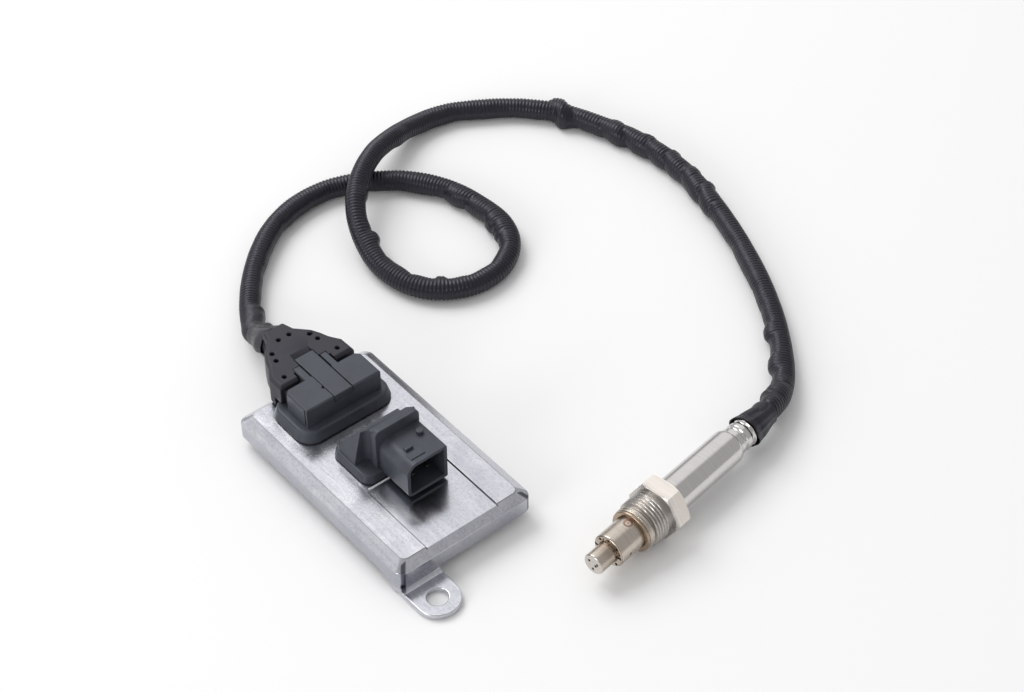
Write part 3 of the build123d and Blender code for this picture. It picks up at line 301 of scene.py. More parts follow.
# Single folds: place along, angle round it from the outer side of the bend, length, width and height
filmFolds = [
    (28, 150, 6.0, 55, 1.5),
    (212, 172, 4.0, 60, 1.6),
    (222, 185, 3.4, 55, 1.4),
    (276, 165, 2.6, 50, 1.6),
    (322, 178, 3.2, 55, 1.6),
    (348, 170, 3.0, 50, 1.0),
    (482.5, 20, 3.7, 75, 2.3),
    (488, 150, 3.6, 70, 1.3),
    (513, 20, 2.6, 60, 0.8),
    (531, 50, 2.8, 60, 0.8),
    (546, 15, 2.4, 60, 0.9),
    (561, 60, 2.6, 70, 0.8),
    (572, 20, 2.4, 60, 1.0),
    (668, 180, 3.6, 55, 1.6),
    (688, 175, 4.0, 55, 1.3),
    (712, 160, 4.0, 80, 1.6),
]


def harnessSurface(h):
    # Around the line, radius = conduit + ribs + film. The ribs are a raised cosine along the length;
    # the film's lumps are |sin| arches on the inner side of the bend, which also press the ribs flat;
    # each fold is a bell round it, and along it a bell with a flat top. Also gives the line along the
    # middle and how far the film presses each point's ribs
    step = h["ribPitch"] / h["samplesPerRib"]
    line, places = evenly(routeLine(routePoints), step)
    line = blurred(line, h["lineBlur"])
    tangent = np.gradient(line, axis=0)
    tangent /= np.linalg.norm(tangent, axis=1, keepdims=True)
    flat = np.cross(tangent, [0.0, 0.0, 1.0])
    flat /= np.linalg.norm(flat, axis=1, keepdims=True)
    over = np.cross(flat, tangent)
    heading = np.unwrap(np.arctan2(tangent[:, 1], tangent[:, 0]))
    turning = np.gradient(heading, places)  # positive where it turns left
    bend = np.tanh(blurred(turning[:, None], h["bendBlur"])[:, 0] / h["fullBend"])
    angle = roundAngles(h["around"])
    place = places[:, None]
    # the outer side of the bend is to the right where it turns left; flat points right
    outer = np.where(bend[:, None] >= 0, 0.0, np.pi)
    fromOuter = np.abs((angle - outer + np.pi) % (2 * np.pi) - np.pi)
    hang = h["straightFilm"] + (1 - h["straightFilm"]) * np.abs(bend)[:, None]
    film = np.zeros((len(places), h["around"]))
    pressed = np.zeros_like(film)
    for start, end, stand, lump, share in looseFilm:
        within = softStep(place, start - 3, start + 5) * (1 - softStep(place, end - 5, end + 3))
        inner = softStep(fromOuter, np.pi * (1 - share) - 0.7, np.pi * (1 - share) + 0.9)
        wander = waves(place, [(53.0, start), (37.0, 1.0)])
        slant = h["lumpSlant"] * np.sin(angle + start) + h["lumpWander"] * wander
        arch = np.abs(np.sin(np.pi * (place + slant) / lump)) ** h["lumpPower"]
        uneven = 0.75 + 0.35 * waves(place, [(lump * 2.3, 0.4 + start), (lump * 3.7, 2.0)])
        film = np.maximum(film, within * inner * stand * arch * uneven * hang)
        pressed = np.maximum(pressed, within * inner)
    for centre, side, length, width, height in filmFolds:
        twist = h["foldTwist"] * (fromOuter - math.radians(side)) * length
        bell = np.exp(-(((place - centre - twist) / length) ** 4) - roundBell(fromOuter, side, width))
        film += height * bell
        pressed = np.maximum(pressed, h["foldPress"] * bell)
    ribs = (0.5 - 0.5 * np.cos(2 * np.pi * place / h["ribPitch"])) ** h["ribPower"]
    ribs = h["ribHeight"] * (ribs - h["ribMiddle"]) * (1 - h["pressedRibs"] * pressed)
    seam = h["seamHeight"] * waves(place + 3 * np.cos(angle), h["seams"])
    radius = h["conduitRadius"] + ribs + film + seam * (0.3 + pressed)
    # it never reaches under the floor: the part below is pressed flat on it
    offset = np.cos(angle)[..., None] * flat[:, None, :] + np.sin(angle)[..., None] * over[:, None, :]
    points = line[:, None, :] + radius[..., None] * offset
    points[..., 2] = np.maximum(points[..., 2], h["lowest"])
    return points, line, pressed


def markLoose(mesh, values):
    # how loosely the film lies at each point, for its material
    loose = mesh.attributes.new("loose", "FLOAT", "POINT")
    loose.data.foreach_set("value", values.astype(np.float32))


harnessPoints, harnessLine, filmPressed = harnessSurface(harness)
harnessMesh = gridMesh("harness", harnessPoints, closeColumns=True, caps=True, turnOver=True)
markLoose(harnessMesh, filmPressed.reshape(-1))
smoothShade(harnessMesh)
harnessPiece = newObject("harness", harnessMesh)
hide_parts("harness_conduit")
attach(harnessPiece, "unit")
print("harness laid", round(runAlong(harnessLine)[-1] * mm, 4))


# Film round the boot's neck: the end of the shrink film, bunched up against the boot
neckFilm = {
    "start": -7.4,  # along the neck's axis, from the harness's mouth towards the boot
    "slant": 3.1,
    "end": 8.5,
    "root": 6.9,
    "tail": 4.75,
    "wall": 0.4,
    "around": 112,
    "rows": 64,
    # edge and folds: count round it, start and height
    "edge": ((1, 0.4, 0.7), (3, 1.2, 0.4), (6, 0.0, 0.2)),
    "folds": ((5, 0.9, 0.34), (9, 2.6, 0.20), (14, 0.3, 0.10)),
    "foldTwist": 1.8,
    # lumps: place along, angle round it from straight up, length, width in degrees, height
    "lumps": (
        (-3.6, 95, 2.2, 34, 1.5),
        (3.6, 70, 2.6, 46, 1.9),
        (-2.5, -80, 3.4, 40, 0.8),
        (6.5, 120, 2.0, 50, 0.9),
    ),
}


def harnessSkin(name, centre, radius, angle, side, over, wall):
    # a closed sleeve: radius round the centre line outside, and the same a wall's thickness in
    skins = []
    for inward in (0.0, wall):
        out = np.cos(angle)[..., None] * side + np.sin(angle)[..., None] * over
        skins.append(centre + (radius - inward)[..., None] * out)
    mesh = gridMesh(name, np.concatenate([skins[0], skins[1][::-1]], 0), closeRows=True, closeColumns=True)
    fixNormals(mesh)
    smoothShade(mesh, 60)
    markLoose(mesh, np.full(len(mesh.vertices), 0.8))
    piece = newObject(name, mesh)
    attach(piece, "unit")
    return piece


def addNeckFilm(f):
    # radius falls from the root's to the harness's along an S curve; folds run along it and lumps
    # are bells along and round
    angle = roundAngles(f["around"])
    share = np.linspace(0, 1, f["rows"])[:, None]
    begin = f["start"] + 0.5 * roundWaves(angle, f["edge"]) - f["slant"] * np.cos(angle)
    place = begin + (f["end"] - begin) * share
    radius = f["root"] + (f["tail"] - f["root"]) * softStep(share, 0.05, 0.9)
    radius = radius + roundWaves(angle, f["folds"], f["foldTwist"] * share) * (1 - 0.8 * share)
    for centre, way, length, width, height in f["lumps"]:
        bell = np.exp(-(((place - centre) / length) ** 2) - roundBell(angle, way, width))
        radius = radius + height * bell
    # towards the boot the centre runs back along the neck's axis, past the mouth it follows the harness
    axis = np.array([-math.cos(dip), 0, -math.sin(dip)])
    onLine = pointsAlong(harnessLine, np.maximum(place, 0))
    centre = np.where((place > 0)[..., None], onLine, mouth + place[..., None] * axis)
    # angle 0 is straight up, and 90 degrees is towards +Y
    up = np.array([-math.sin(dip), 0, math.cos(dip)])
    left = np.array([0.0, 1.0, 0.0])
    return harnessSkin("neckFilm", centre, radius, angle, up, left, f["wall"])


neckFilmPiece = addNeckFilm(neckFilm)
print("neck film gathered")


# Softened copies: a CAD solid with its edges rounded, for mouldings and pressed sheet
def edgeRoom(mesh):
    # for each edge, the length of the shortest edge that leaves either end without carrying it on:
    # edge ends are sorted by corner, and every two at one corner are compared
    ends = readBack(mesh.edges, "vertices", 2, int)
    places = readBack(mesh.vertices, "co")
    run = places[ends[:, 1]] - places[ends[:, 0]]
    length = np.linalg.norm(run, axis=1)
    way = run / length[:, None]
    corner = np.concatenate([ends[:, 0], ends[:, 1]])
    edge = np.tile(np.arange(len(ends)), 2)
    way = np.concatenate([way, -way])
    order = np.argsort(corner, kind="stable")
    corner, edge, way = corner[order], edge[order], way[order]
    count = np.bincount(corner, minlength=len(places))
    first = np.concatenate([[0], np.cumsum(count)[:-1]])
    here = np.repeat(np.arange(len(corner)), count[corner])
    begins = np.concatenate([[0], np.cumsum(count[corner])[:-1]])
    other = first[corner[here]] + np.arange(len(here)) - np.repeat(begins, count[corner])
    # two ends less than about 30 degrees from opposite carry each other on
    turns = (edge[here] != edge[other]) & ((way[here] * way[other]).sum(1) > -0.86)
    room = np.full(len(ends), np.inf)
    np.minimum.at(room, edge[here[turns]], length[edge[other[turns]]])
    return room


# the boot's mould pin holes come out a little wider than the pins: places, pin radius, hole radius
pinHoles = {
    "plug_boot": ([
        (-64.9, -2.3), (-64.9, 2.9), (-59.9, -8.9), (-59.9, 9.5),
        (-55.7, -9.9), (-55.7, 10.5), (-46.2, -12.7), (-46.2, 13.3),
    ], 0.65, 0.90),
}


def widenHoles(mesh, places, pin, wide):
    # points on a pin hole's rim move out from its middle, from the pin's radius to the wide one
    spots = readBack(mesh.vertices, "co") / mm
    for place in places:
        away = spots[:, :2] - place
        reach = np.linalg.norm(away, axis=1)
        rim = reach < pin + 0.05
        spots[rim, :2] = place + away[rim] / reach[rim, None] * wide
    mesh.vertices.foreach_set("co", (spots * mm).reshape(-1))


def softened(name, node, body, slot, width, segments, sharper, smooth, share=0.33):
    # the node's own mesh, merged and with its flat faces joined, under a Bevel on outer edges past
    # the angle; an edge with little room beside it gets that share of the room instead
    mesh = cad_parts[node].data.copy()
    mesh.name = name
    tidy = bmesh.new()
    tidy.from_mesh(mesh)
    bmesh.ops.remove_doubles(tidy, verts=tidy.verts, dist=2e-6)
    flat = math.radians(0.6)
    bmesh.ops.dissolve_limit(tidy, angle_limit=flat, verts=tidy.verts, edges=tidy.edges)
    convex = np.array([edge.is_convex for edge in tidy.edges])
    tidy.to_mesh(mesh)
    tidy.free()
    widenHoles(mesh, *(pinHoles.get(node) or ((), 0, 0)))
    for old in [a.name for a in mesh.attributes if a.name.startswith("custom_normal")]:
        mesh.attributes.remove(mesh.attributes[old])
    mesh.materials.clear()
    smoothShade(mesh, sharper)
    isSharp = readBack(mesh.attributes["sharp_edge"].data, "value", 1, bool)[:, 0]
    weight = np.where(isSharp & convex, np.minimum(1.0, share * edgeRoom(mesh) / (width * mm)), 0.0)
    layer = mesh.attributes.new("bevel_weight_edge", "FLOAT", "EDGE")
    layer.data.foreach_set("value", weight.astype(np.float32))
    smoothShade(mesh, smooth)
    piece = newObject(name, mesh)
    bevel = piece.modifiers.new("softEdges", "BEVEL")
    bevel.width = width * mm
    bevel.segments = segments
    bevel.limit_method = "WEIGHT"
    bevel.use_clamp_overlap = False
    bevel.harden_normals = True
    bevel.miter_outer = "MITER_ARC"
    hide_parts(node)
    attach(piece, body)
    return piece


softEdges = {
    # node, body, slot, edge radius, segments, angles past which an edge is rounded and shaded sharp
    "housingCover": ("housing_cover", "unit", "cover_aluminium", 0.45, 3, 43, 30),
    "basePlate": ("base_plate", "unit", "base_aluminium", 0.4, 2, 30, 40),
    "sensorHeader": ("sensor_header", "unit", "header_plastic", 0.35, 2, 30, 40),
    "vehicleHeader": ("vehicle_header", "unit", "header_plastic", 0.3, 2, 30, 40),
    "plugHousing": ("plug_housing", "unit", "plug_plastic", 0.22, 2, 30, 40),
    "plugLatch": ("plug_latch", "latch", "plug_plastic", 0.18, 2, 30, 40),
    "plugBoot": ("plug_boot", "unit", "boot_plastic", 0.5, 3, 30, 40),
    "tipTube": ("tip_tube", "unit", "tube_steel", 0.08, 1, 30, 40),
    "outerTube": ("outer_tube", "unit", "tube_steel", 0.08, 1, 30, 40),
}
pieces = {name: softened(name, *row) for name, row in softEdges.items()}
print("softened", len(pieces), "pieces")


# Turned pieces: a closed outline of (radius, station) points carried round the probe's axis
def roundedOutline(outline):
    # each row is radius, station and corner radius; a corner becomes an arc of its own radius,
    # tangent to both its sides, in six steps
    flat = np.array([row[:2] for row in outline], float)
    rounding = [row[2] if len(row) > 2 else 0 for row in outline]
    found = []
    for k, corner in enumerate(flat):
        if rounding[k] == 0:
            found.append(corner)
            continue
        toBefore = flat[k - 1] - corner
        toAfter = flat[(k + 1) % len(flat)] - corner
        toBefore /= np.linalg.norm(toBefore)
        toAfter /= np.linalg.norm(toAfter)
        half = math.acos(np.clip(np.dot(toBefore, toAfter), -1, 1)) / 2
        reach = rounding[k] / math.tan(half)
        bisector = (toBefore + toAfter) / np.linalg.norm(toBefore + toAfter)
        middle = corner + bisector * rounding[k] / math.sin(half)
        first = corner + toBefore * reach - middle
        last = corner + toAfter * reach - middle
        sweep = math.atan2(first[0] * last[1] - first[1] * last[0], np.dot(first, last))
        turn = np.linspace(0, sweep, 7)
        arc = np.stack([
            first[0] * np.cos(turn) - first[1] * np.sin(turn),
            first[0] * np.sin(turn) + first[1] * np.cos(turn),
        ], 1)
        found.extend(middle + arc)
    return np.array(found)


def aroundProbe(radius, station, angle):
    # places in the shared frame from cylinder coordinates about the probe's axis
    out = np.cos(angle)[..., None] * probeSide + np.sin(angle)[..., None] * np.array([0.0, 0.0, 1.0])
    return probePoint(station) + radius[..., None] * out


def turned(name, outline, body, replaced, steps=144, shape=None, sharp=35):
    # surface of revolution; shape(radius, station, angle) may change the radius
    flat = roundedOutline(outline)
    size = len(flat), steps
    angle = np.broadcast_to(roundAngles(steps), size)
    radius = np.broadcast_to(flat[:, :1], size)
    station = np.broadcast_to(flat[:, 1:], size)
    if shape is not None:
        radius = shape(radius, station, angle)
    mesh = gridMesh(name, aroundProbe(radius, station, angle), closeRows=True, closeColumns=True)
    fixNormals(mesh)
    smoothShade(mesh, sharp)
    piece = newObject(name, mesh)
    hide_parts(replaced)
    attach(piece, body)
    return piece


# Rear sleeve: a long tube whose rounded shoulder falls to the crimped neck
sleeve = {
    "front": 10.0,
    "radius": 7.5,
    "wall": 0.7,
    "shoulder": 47.8,
    "shoulderRun": 2.6,
    "shoulderPower": 0.8,
    "insideEnd": 3.0,  # how far before the shoulder the wide bore ends
    "neck": 6.1,
    "neckWall": 1.25,
    "neckEnd": 59.6,
    "neckStep": 0.18,
    "grooves": (51.6, 55.8),
    "grooveWidth": 0.85,
    "grooveDepth": 0.85,
    "jaws": 8,
    "jawDepth": 0.16,
}


def crimped(radius, station, angle):
    # each groove is a rounded dip in the neck, deeper in the middle of each of the crimping jaws
    s = sleeve
    groove = sum(np.exp(-(((station - middle) / s["grooveWidth"]) ** 4)) for middle in s["grooves"])
    jaw = s["jawDepth"] * np.abs(np.cos(angle * s["jaws"] / 2))
    onNeck = (station > s["shoulder"] + 0.4) & (radius > s["neck"] - 0.05)
    return np.where(onNeck, radius - groove * (s["grooveDepth"] + jaw), radius)


def sleeveOutline(s):
    # front edge, the shoulder as a quarter of a soft oval, the neck in fine rows, and back inside
    bore = s["neck"] - s["neckWall"]
    inside = s["radius"] - s["wall"]
    insideEnd = s["shoulder"] - s["insideEnd"]
    drop = s["radius"] - s["neck"]
    shoulder = [
        (
            s["neck"] + drop * math.cos(turn) ** s["shoulderPower"],
            s["shoulder"] - s["shoulderRun"] * (1 - math.sin(turn)),
        )
        for turn in np.linspace(0, np.pi / 2, 12)
    ]
    neck = [(s["neck"], row) for row in np.arange(s["shoulder"] + 0.3, s["neckEnd"] - 0.6, s["neckStep"])]
    return [
        (inside, s["front"], 0.1),
        (s["radius"], s["front"], 0.25),
        *shoulder,
        *neck,
        (s["neck"], s["neckEnd"], 0.3),
        (bore, s["neckEnd"], 0.1),
        (bore, insideEnd, 0.4),
        (inside, insideEnd, 0.4),
    ]


pieces["rearSleeve"] = turned(
    "rearSleeve", sleeveOutline(sleeve), "unit", "rear_sleeve", 160, crimped,
)

# Sensor body: seat, flange with a groove round it, stem and the spigot that the sleeve is pushed on
sensorBody = {
    "flangeFront": -12.3,
    "flangeRear": -9.9,
    "flange": 9.3,
    "groove": 0.45,
    "grooveStart": 0.75,
    "grooveEnd": 1.65,
    "stem": 7.5,
    "stemRear": 9.6,
    "spigot": 6.72,
    "spigotRear": 18.0,
    "bore": 5.0,
    "boreFront": 0.5,
    "seat": 6.52,
    "seatLength": 2.2,
    "seatBore": 4.58,
}


def bodyOutline(b):
    # round the seat's front, over the flange with its groove, along stem and spigot, and back inside
    front = b["flangeFront"]
    seatFront = front - b["seatLength"]
    boreFront = front + b["boreFront"]
    return [
        (b["seatBore"], seatFront, 0.1),
        (b["seat"], seatFront, 0.2),
        (b["seat"], front, 0.1),
        (b["flange"], front, 0.35),
        (b["flange"], front + b["grooveStart"], 0.15),
        (b["flange"] - b["groove"], front + (b["grooveStart"] + b["grooveEnd"]) / 2, 0.2),
        (b["flange"], front + b["grooveEnd"], 0.15),
        (b["flange"], b["flangeRear"], 0.3),
        (b["stem"], b["flangeRear"], 0.1),
        (b["stem"], b["stemRear"], 0.3),
        (b["spigot"], b["stemRear"], 0.05),
        (b["spigot"], b["spigotRear"], 0.3),
        (b["bore"], b["spigotRear"], 0.2),
        (b["bore"], boreFront, 0.05),
        (b["seatBore"], boreFront, 0.05),
    ]


pieces["sensorBody"] = turned("sensorBody", bodyOutline(sensorBody), "unit", "sensor_body")

# Gasket: a rounded ring in front of the flange
gasket = {
    "inner": 7.18,
    "outer": 9.1,
    "front": -13.6,
    "rear": -12.3,
}


def gasketOutline(g):
    return [
        (g["inner"], g["front"], 0.2),
        (g["outer"], g["front"], 0.5),
        (g["outer"], g["rear"], 0.4),
        (g["inner"], g["rear"], 0.2),
    ]


pieces["gasketRing"] = turned("gasketRing", gasketOutline(gasket), "unit", "gasket_ring")


# Union nut: real thread in front of a chamfered hexagon
nut = {
    "flats": 22.0,
    "length": 7.8,
    "chamfer": 1.2,
    "chamferAngle": 30.0,
    "faceOuter": 11.4,
    "faceRows": 12,
    "edgeRows": 14,
    "thread": 10.0,
    "front": -9.6,
    "lead": 1.1,
    "pitch": 1.5,
    "depth": 0.92,
    "threadStep": 0.11,
    "relief": 1.6,
    "reliefDepth": 1.1,
    "bore": 7.8,
    "rim": 0.9,  # only what stands this far outside the bore is shaped
}


def nutShape(radius, station, angle):
    # thread: a V of the pitch, flattened at crest and root, cut along a helix and faded out at the
    # lead and the relief. Hexagon: flats / 2 / cos of the angle from the nearest flat, and never
    # outside the two chamfer cones. Its lowest flat lies on the floor, at -90 degrees
    angle = angle + np.pi / 2
    phase = (station / nut["pitch"] - angle / (2 * np.pi)) % 1.0
    vee = np.clip(1.45 * (1 - np.abs(2 * phase - 1)) - 0.18, 0, 1)
    outside = radius > nut["bore"] + nut["rim"]
    onThread = (station < -nut["relief"] + 0.05) & outside
    threaded = radius - nut["depth"] * vee * softStep(station, nut["front"] - 0.4, nut["front"] + 0.7)
    fromFlat = (angle + np.pi / 6) % (np.pi / 3) - np.pi / 6
    hexagon = nut["flats"] / 2 / np.cos(fromFlat)
    corner = nut["flats"] / 2 / math.cos(math.pi / 6) - nut["chamfer"]
    slope = math.tan(math.radians(90 - nut["chamferAngle"]))
    cone = np.minimum(corner + station * slope, corner + (nut["length"] - station) * slope)
    onHex = (station > -0.01) & outside
    shaped = np.where(onThread, threaded, radius)
    return np.where(onHex, np.minimum(np.minimum(hexagon, cone), radius), shaped)


def nutOutline(n):
    # front rim, thread with its lead, relief, the hexagon's front face, its flats and its rear face
    relief = n["thread"] - n["reliefDepth"]
    lead = np.arange(n["front"] + 0.02, -n["relief"], n["threadStep"])
    face = np.linspace(n["bore"] + 1.2, n["faceOuter"], n["faceRows"])
    flats = np.concatenate([
        np.linspace(0.0, 0.8, n["edgeRows"]),
        np.linspace(1.2, n["length"] - 1.2, 6),
        np.linspace(n["length"] - 0.8, n["length"], n["edgeRows"]),
    ])
    return [
        (n["bore"], n["front"]),
        (n["bore"] + 0.6, n["front"]),
        *((min(n["thread"], n["thread"] - n["lead"] + (row - n["front"])), row) for row in lead),
        (relief, -n["relief"] + 0.25),
        (relief, -0.02),
        *((row, 0.0) for row in face),
        *((n["flats"], row) for row in flats),
        *((row, n["length"]) for row in face[::-1]),
        (n["bore"] + 0.5, n["length"]),
        (n["bore"], n["length"] - 0.4),
    ]


pieces["unionNut"] = turned(
    "unionNut", nutOutline(nut), "nut", "union_nut", 240, nutShape, 24,
)
print("probe turned")


# Cuff: the film's end, gathered over the crimped neck, with an uneven flared edge
cuff = {
    "front": 57.0,
    "rear": 72.5,
    "neckRadius": 6.25,
    "cordRadius": 4.3,
    "flare": 7.35,
    "drawnIn": 0.75,
    "tail": 5.15,
    "wall": 0.35,
    "around": 96,
    "rows": 46,
    # edge and folds: count round it, start and height
    "edge": ((1, 0.6, 0.9), (3, 2.0, 0.45), (7, 0.0, 0.2)),
    "folds": ((5, 0.4, 0.30), (8, 2.1, 0.22), (13, 1.0, 0.12)),
    "foldTwist": 2.2,
}


def cuffCentre(station):
    # on the probe's axis as far as the neck's end, and then on the harness's own line
    beyond = station - harness["neckEnd"]
    onLine = pointsAlong(harnessLine[::-1], np.maximum(beyond, 0))
    return np.where((beyond > 0)[..., None], onLine, probePoint(station))


def addCuff(c):
    # outside: radius falls from the flare to the harness along an S curve, with folds that run along
    # it and fade towards the tail; inside: the same surface a wall's thickness in
    angle = roundAngles(c["around"])
    share = np.linspace(0, 1, c["rows"])[:, None]
    edge = roundWaves(angle, c["edge"])
    station = c["front"] + 0.8 * edge * (1 - share) ** 2 + (c["rear"] - c["front"]) * share
    fall = softStep(share, 0.12, 0.95)
    flare = c["flare"] - c["drawnIn"] * softStep(share, 0.0, 0.22)
    folds = roundWaves(angle, c["folds"], c["foldTwist"] * share) * (1 - 0.75 * share)
    radius = flare * (1 - fall) + c["tail"] * fall + folds * (0.35 + softStep(share, 0, 0.3))
    held = np.where(station < sleeve["neckEnd"] + 0.4, c["neckRadius"], c["cordRadius"])
    radius = np.maximum(radius, held + c["wall"])
    centre = cuffCentre(station)
    up = np.array([0.0, 0.0, 1.0])
    piece = harnessSkin("harnessCuff", centre, radius, angle, probeSide, up, c["wall"])
    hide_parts("harness_cuff")
    return piece


pieces["harnessCuff"] = addCuff(cuff)
print("cuff gathered")


# Materials
def newMaterial(name, colour, roughness, metallic=0.0):
    made = bpy.data.materials.new(name)
    made.use_nodes = True
    shader = made.node_tree.nodes["Principled BSDF"]
    shader.inputs["Base Color"].default_value = (*colour, 1)
    shader.inputs["Roughness"].default_value = roughness
    shader.inputs["Metallic"].default_value = metallic
    return made, made.node_tree, shader


def setInputs(made, inputs):
    # a socket is linked to the input, any other value is set
    for key, value in inputs.items():
        if isinstance(value, bpy.types.NodeSocket):
            made.id_data.links.new(value, made.inputs[key])
        else:
            made.inputs[key].default_value = value


def node(tree, kind, inputs=None, **settings):
    made = tree.nodes.new(kind)
    for key, value in settings.items():
        setattr(made, key, value)
    setInputs(made, inputs or {})
    return made


def objectPlace(tree):
    return node(tree, "ShaderNodeTexCoord").outputs["Object"]


def stretchedNoise(tree, scale, detail=3.0, rotation=(0, 0, 0), roughness=0.5, distortion=0.0):
    # noise on Object coordinates, turned and then stretched: scale is the cells per metre each way
    turn = node(tree, "ShaderNodeMapping", {"Vector": objectPlace(tree), "Rotation": rotation})
    stretch = node(tree, "ShaderNodeMapping", {"Vector": turn.outputs["Vector"], "Scale": scale})
    noise = node(tree, "ShaderNodeTexNoise", {
        "Vector": stretch.outputs["Vector"], "Scale": 1.0, "Detail": detail, "Roughness": roughness,
        "Distortion": distortion,
    })
    return noise.outputs["Fac"]


def ramp(tree, value, stops):
    # colour ramp; each stop is a place and a grey or a colour
    made = node(tree, "ShaderNodeValToRGB", {"Fac": value})
    line = made.color_ramp
    while len(line.elements) < len(stops):
        line.elements.new(0.5)
    for element, (place, colour) in zip(line.elements, stops):
        element.position = place
        element.color = (*colour, 1) if hasattr(colour, "__len__") else (colour, colour, colour, 1)
    return made.outputs["Color"]


def mixed(tree, share, first, second, blend="MIX"):
    made = node(tree, "ShaderNodeMix", {
        0: share,
        6: (*first, 1) if isinstance(first, tuple) else first,
        7: (*second, 1) if isinstance(second, tuple) else second,
    }, data_type="RGBA", blend_type=blend)
    return made.outputs[2]


def maths(tree, operation, first, second=0.0, clamp=False):
    made = node(tree, "ShaderNodeMath", {0: first, 1: second}, operation=operation, use_clamp=clamp)
    return made.outputs[0]


def times(tree, first, *others):
    for other in others:
        first = maths(tree, "MULTIPLY", first, other)
    return first


def minus(tree, first, second):
    return maths(tree, "SUBTRACT", first, second)


def bump(tree, height, strength, distance, normal=None):
    # a bump of the distance in millimetres, on top of another one's normal where that is given
    made = node(tree, "ShaderNodeBump", {"Height": height, "Strength": strength, "Distance": distance * mm})
    setInputs(made, {} if normal is None else {"Normal": normal})
    return made.outputs["Normal"]


def shades(colour, darker, lighter=1.0):
    # the colour made darker and lighter by the two shares
    return tuple(c * darker for c in colour), tuple(c * lighter for c in colour)


def attribute(tree, name):
    return node(tree, "ShaderNodeAttribute", attribute_name=name).outputs["Fac"]


def objectParts(tree):
    return node(tree, "ShaderNodeSeparateXYZ", {0: objectPlace(tree)}).outputs


def eased(tree, value, low, high, first=0.0, last=1.0):
    # goes smoothly from the first number at low to the last one at high
    return node(tree, "ShaderNodeMapRange", {
        "Value": value, "From Min": low, "From Max": high, "To Min": first, "To Max": last,
    }, interpolation_type="SMOOTHSTEP").outputs["Result"]


def nearTo(tree, value, target, reach):
    # 1 at the target, falling smoothly to 0 at the reach, in millimetres
    away = maths(tree, "ABSOLUTE", minus(tree, value, target * mm))
    return eased(tree, away, 0.4 * reach * mm, reach * mm, 1.0, 0.0)


def past(tree, value, edge, reach=0.3):
    # 0 before the edge and 1 past it, in millimetres
    return eased(tree, value, (edge - reach) * mm, (edge + reach) * mm)


def drawnAluminium(name, colour, shade, streak=(14, 700, 700)):
    # rolled sheet: faint long streaks in tone, cloudy patches in tone and gloss, fine rolling lines
    made, tree, shader = newMaterial(name, colour, 0.22, 1.0)
    streaks = stretchedNoise(tree, streak, 5.0, roughness=0.62)
    fine = stretchedNoise(tree, (60, 3800, 3800), 3.0)
    clouds = stretchedNoise(tree, (55, 85, 85), 5.0, roughness=0.6, distortion=0.9)
    specks = stretchedNoise(tree, (900, 900, 900), 2.0, roughness=0.7)
    tone = ramp(tree, streaks, [(0.30, shade), (0.62, colour)])
    cloudy = ramp(tree, clouds, [(0.34, (0.86, 0.87, 0.90)), (0.66, (1.0, 1.0, 1.0))])
    tone = mixed(tree, 1.0, tone, cloudy, "MULTIPLY")
    speckled = ramp(tree, specks, [(0.38, 0.80), (0.50, 1.0)])
    tone = mixed(tree, 0.5, tone, mixed(tree, 1.0, tone, speckled, "MULTIPLY"))
    gloss = ramp(tree, clouds, [(0.30, 0.15), (0.70, 0.26)])
    rough = mixed(tree, 0.25, gloss, ramp(tree, streaks, [(0.3, 0.12), (0.7, 0.34)]))
    setInputs(shader, {"Normal": bump(tree, streaks, 0.05, 0.05, bump(tree, fine, 0.05, 0.02))})
    return made, tree, shader, tone, rough


# Painted light and shade on the cover: painted shade on the recess's long sides, a painted highlight on
# its rear step, a painted dark reflection down each outer corner, and painted shade on the lid's edge
# and on the band below the bevels
coverPaintedLight = {
    "recessStart": 12.5,
    "recessHalf": 17.1,
    "lidHeight": 14.0,
    "lineReach": 0.34,
    "recessShadeTone": (0.10, 0.10, 0.12),
    "stepReach": 0.42,
    "stepHighlightTone": (0.95, 0.95, 0.97),
    "cornerX": 49.55,
    "cornerY": 27.8,
    "cornerReflectionAngle": 39.5,
    "cornerReflectionReach": 1.3,
    "cornerReflectionFoot": 2.6,
    "cornerReflectionShare": 0.9,
    "cornerReflectionTone": (0.09, 0.095, 0.115),
    "edgeHeight": 14.61,
    "edgeReach": 0.18,
    "edgeX": 48.9,
    "edgeY": 26.9,
    "edgeShare": 0.85,
    "edgeShadeTone": (0.34, 0.345, 0.37),
    "bandFoot": 3.0,
    "bandTop": 11.4,
    "bandPaintedShade": (0.73, 0.735, 0.75),
}


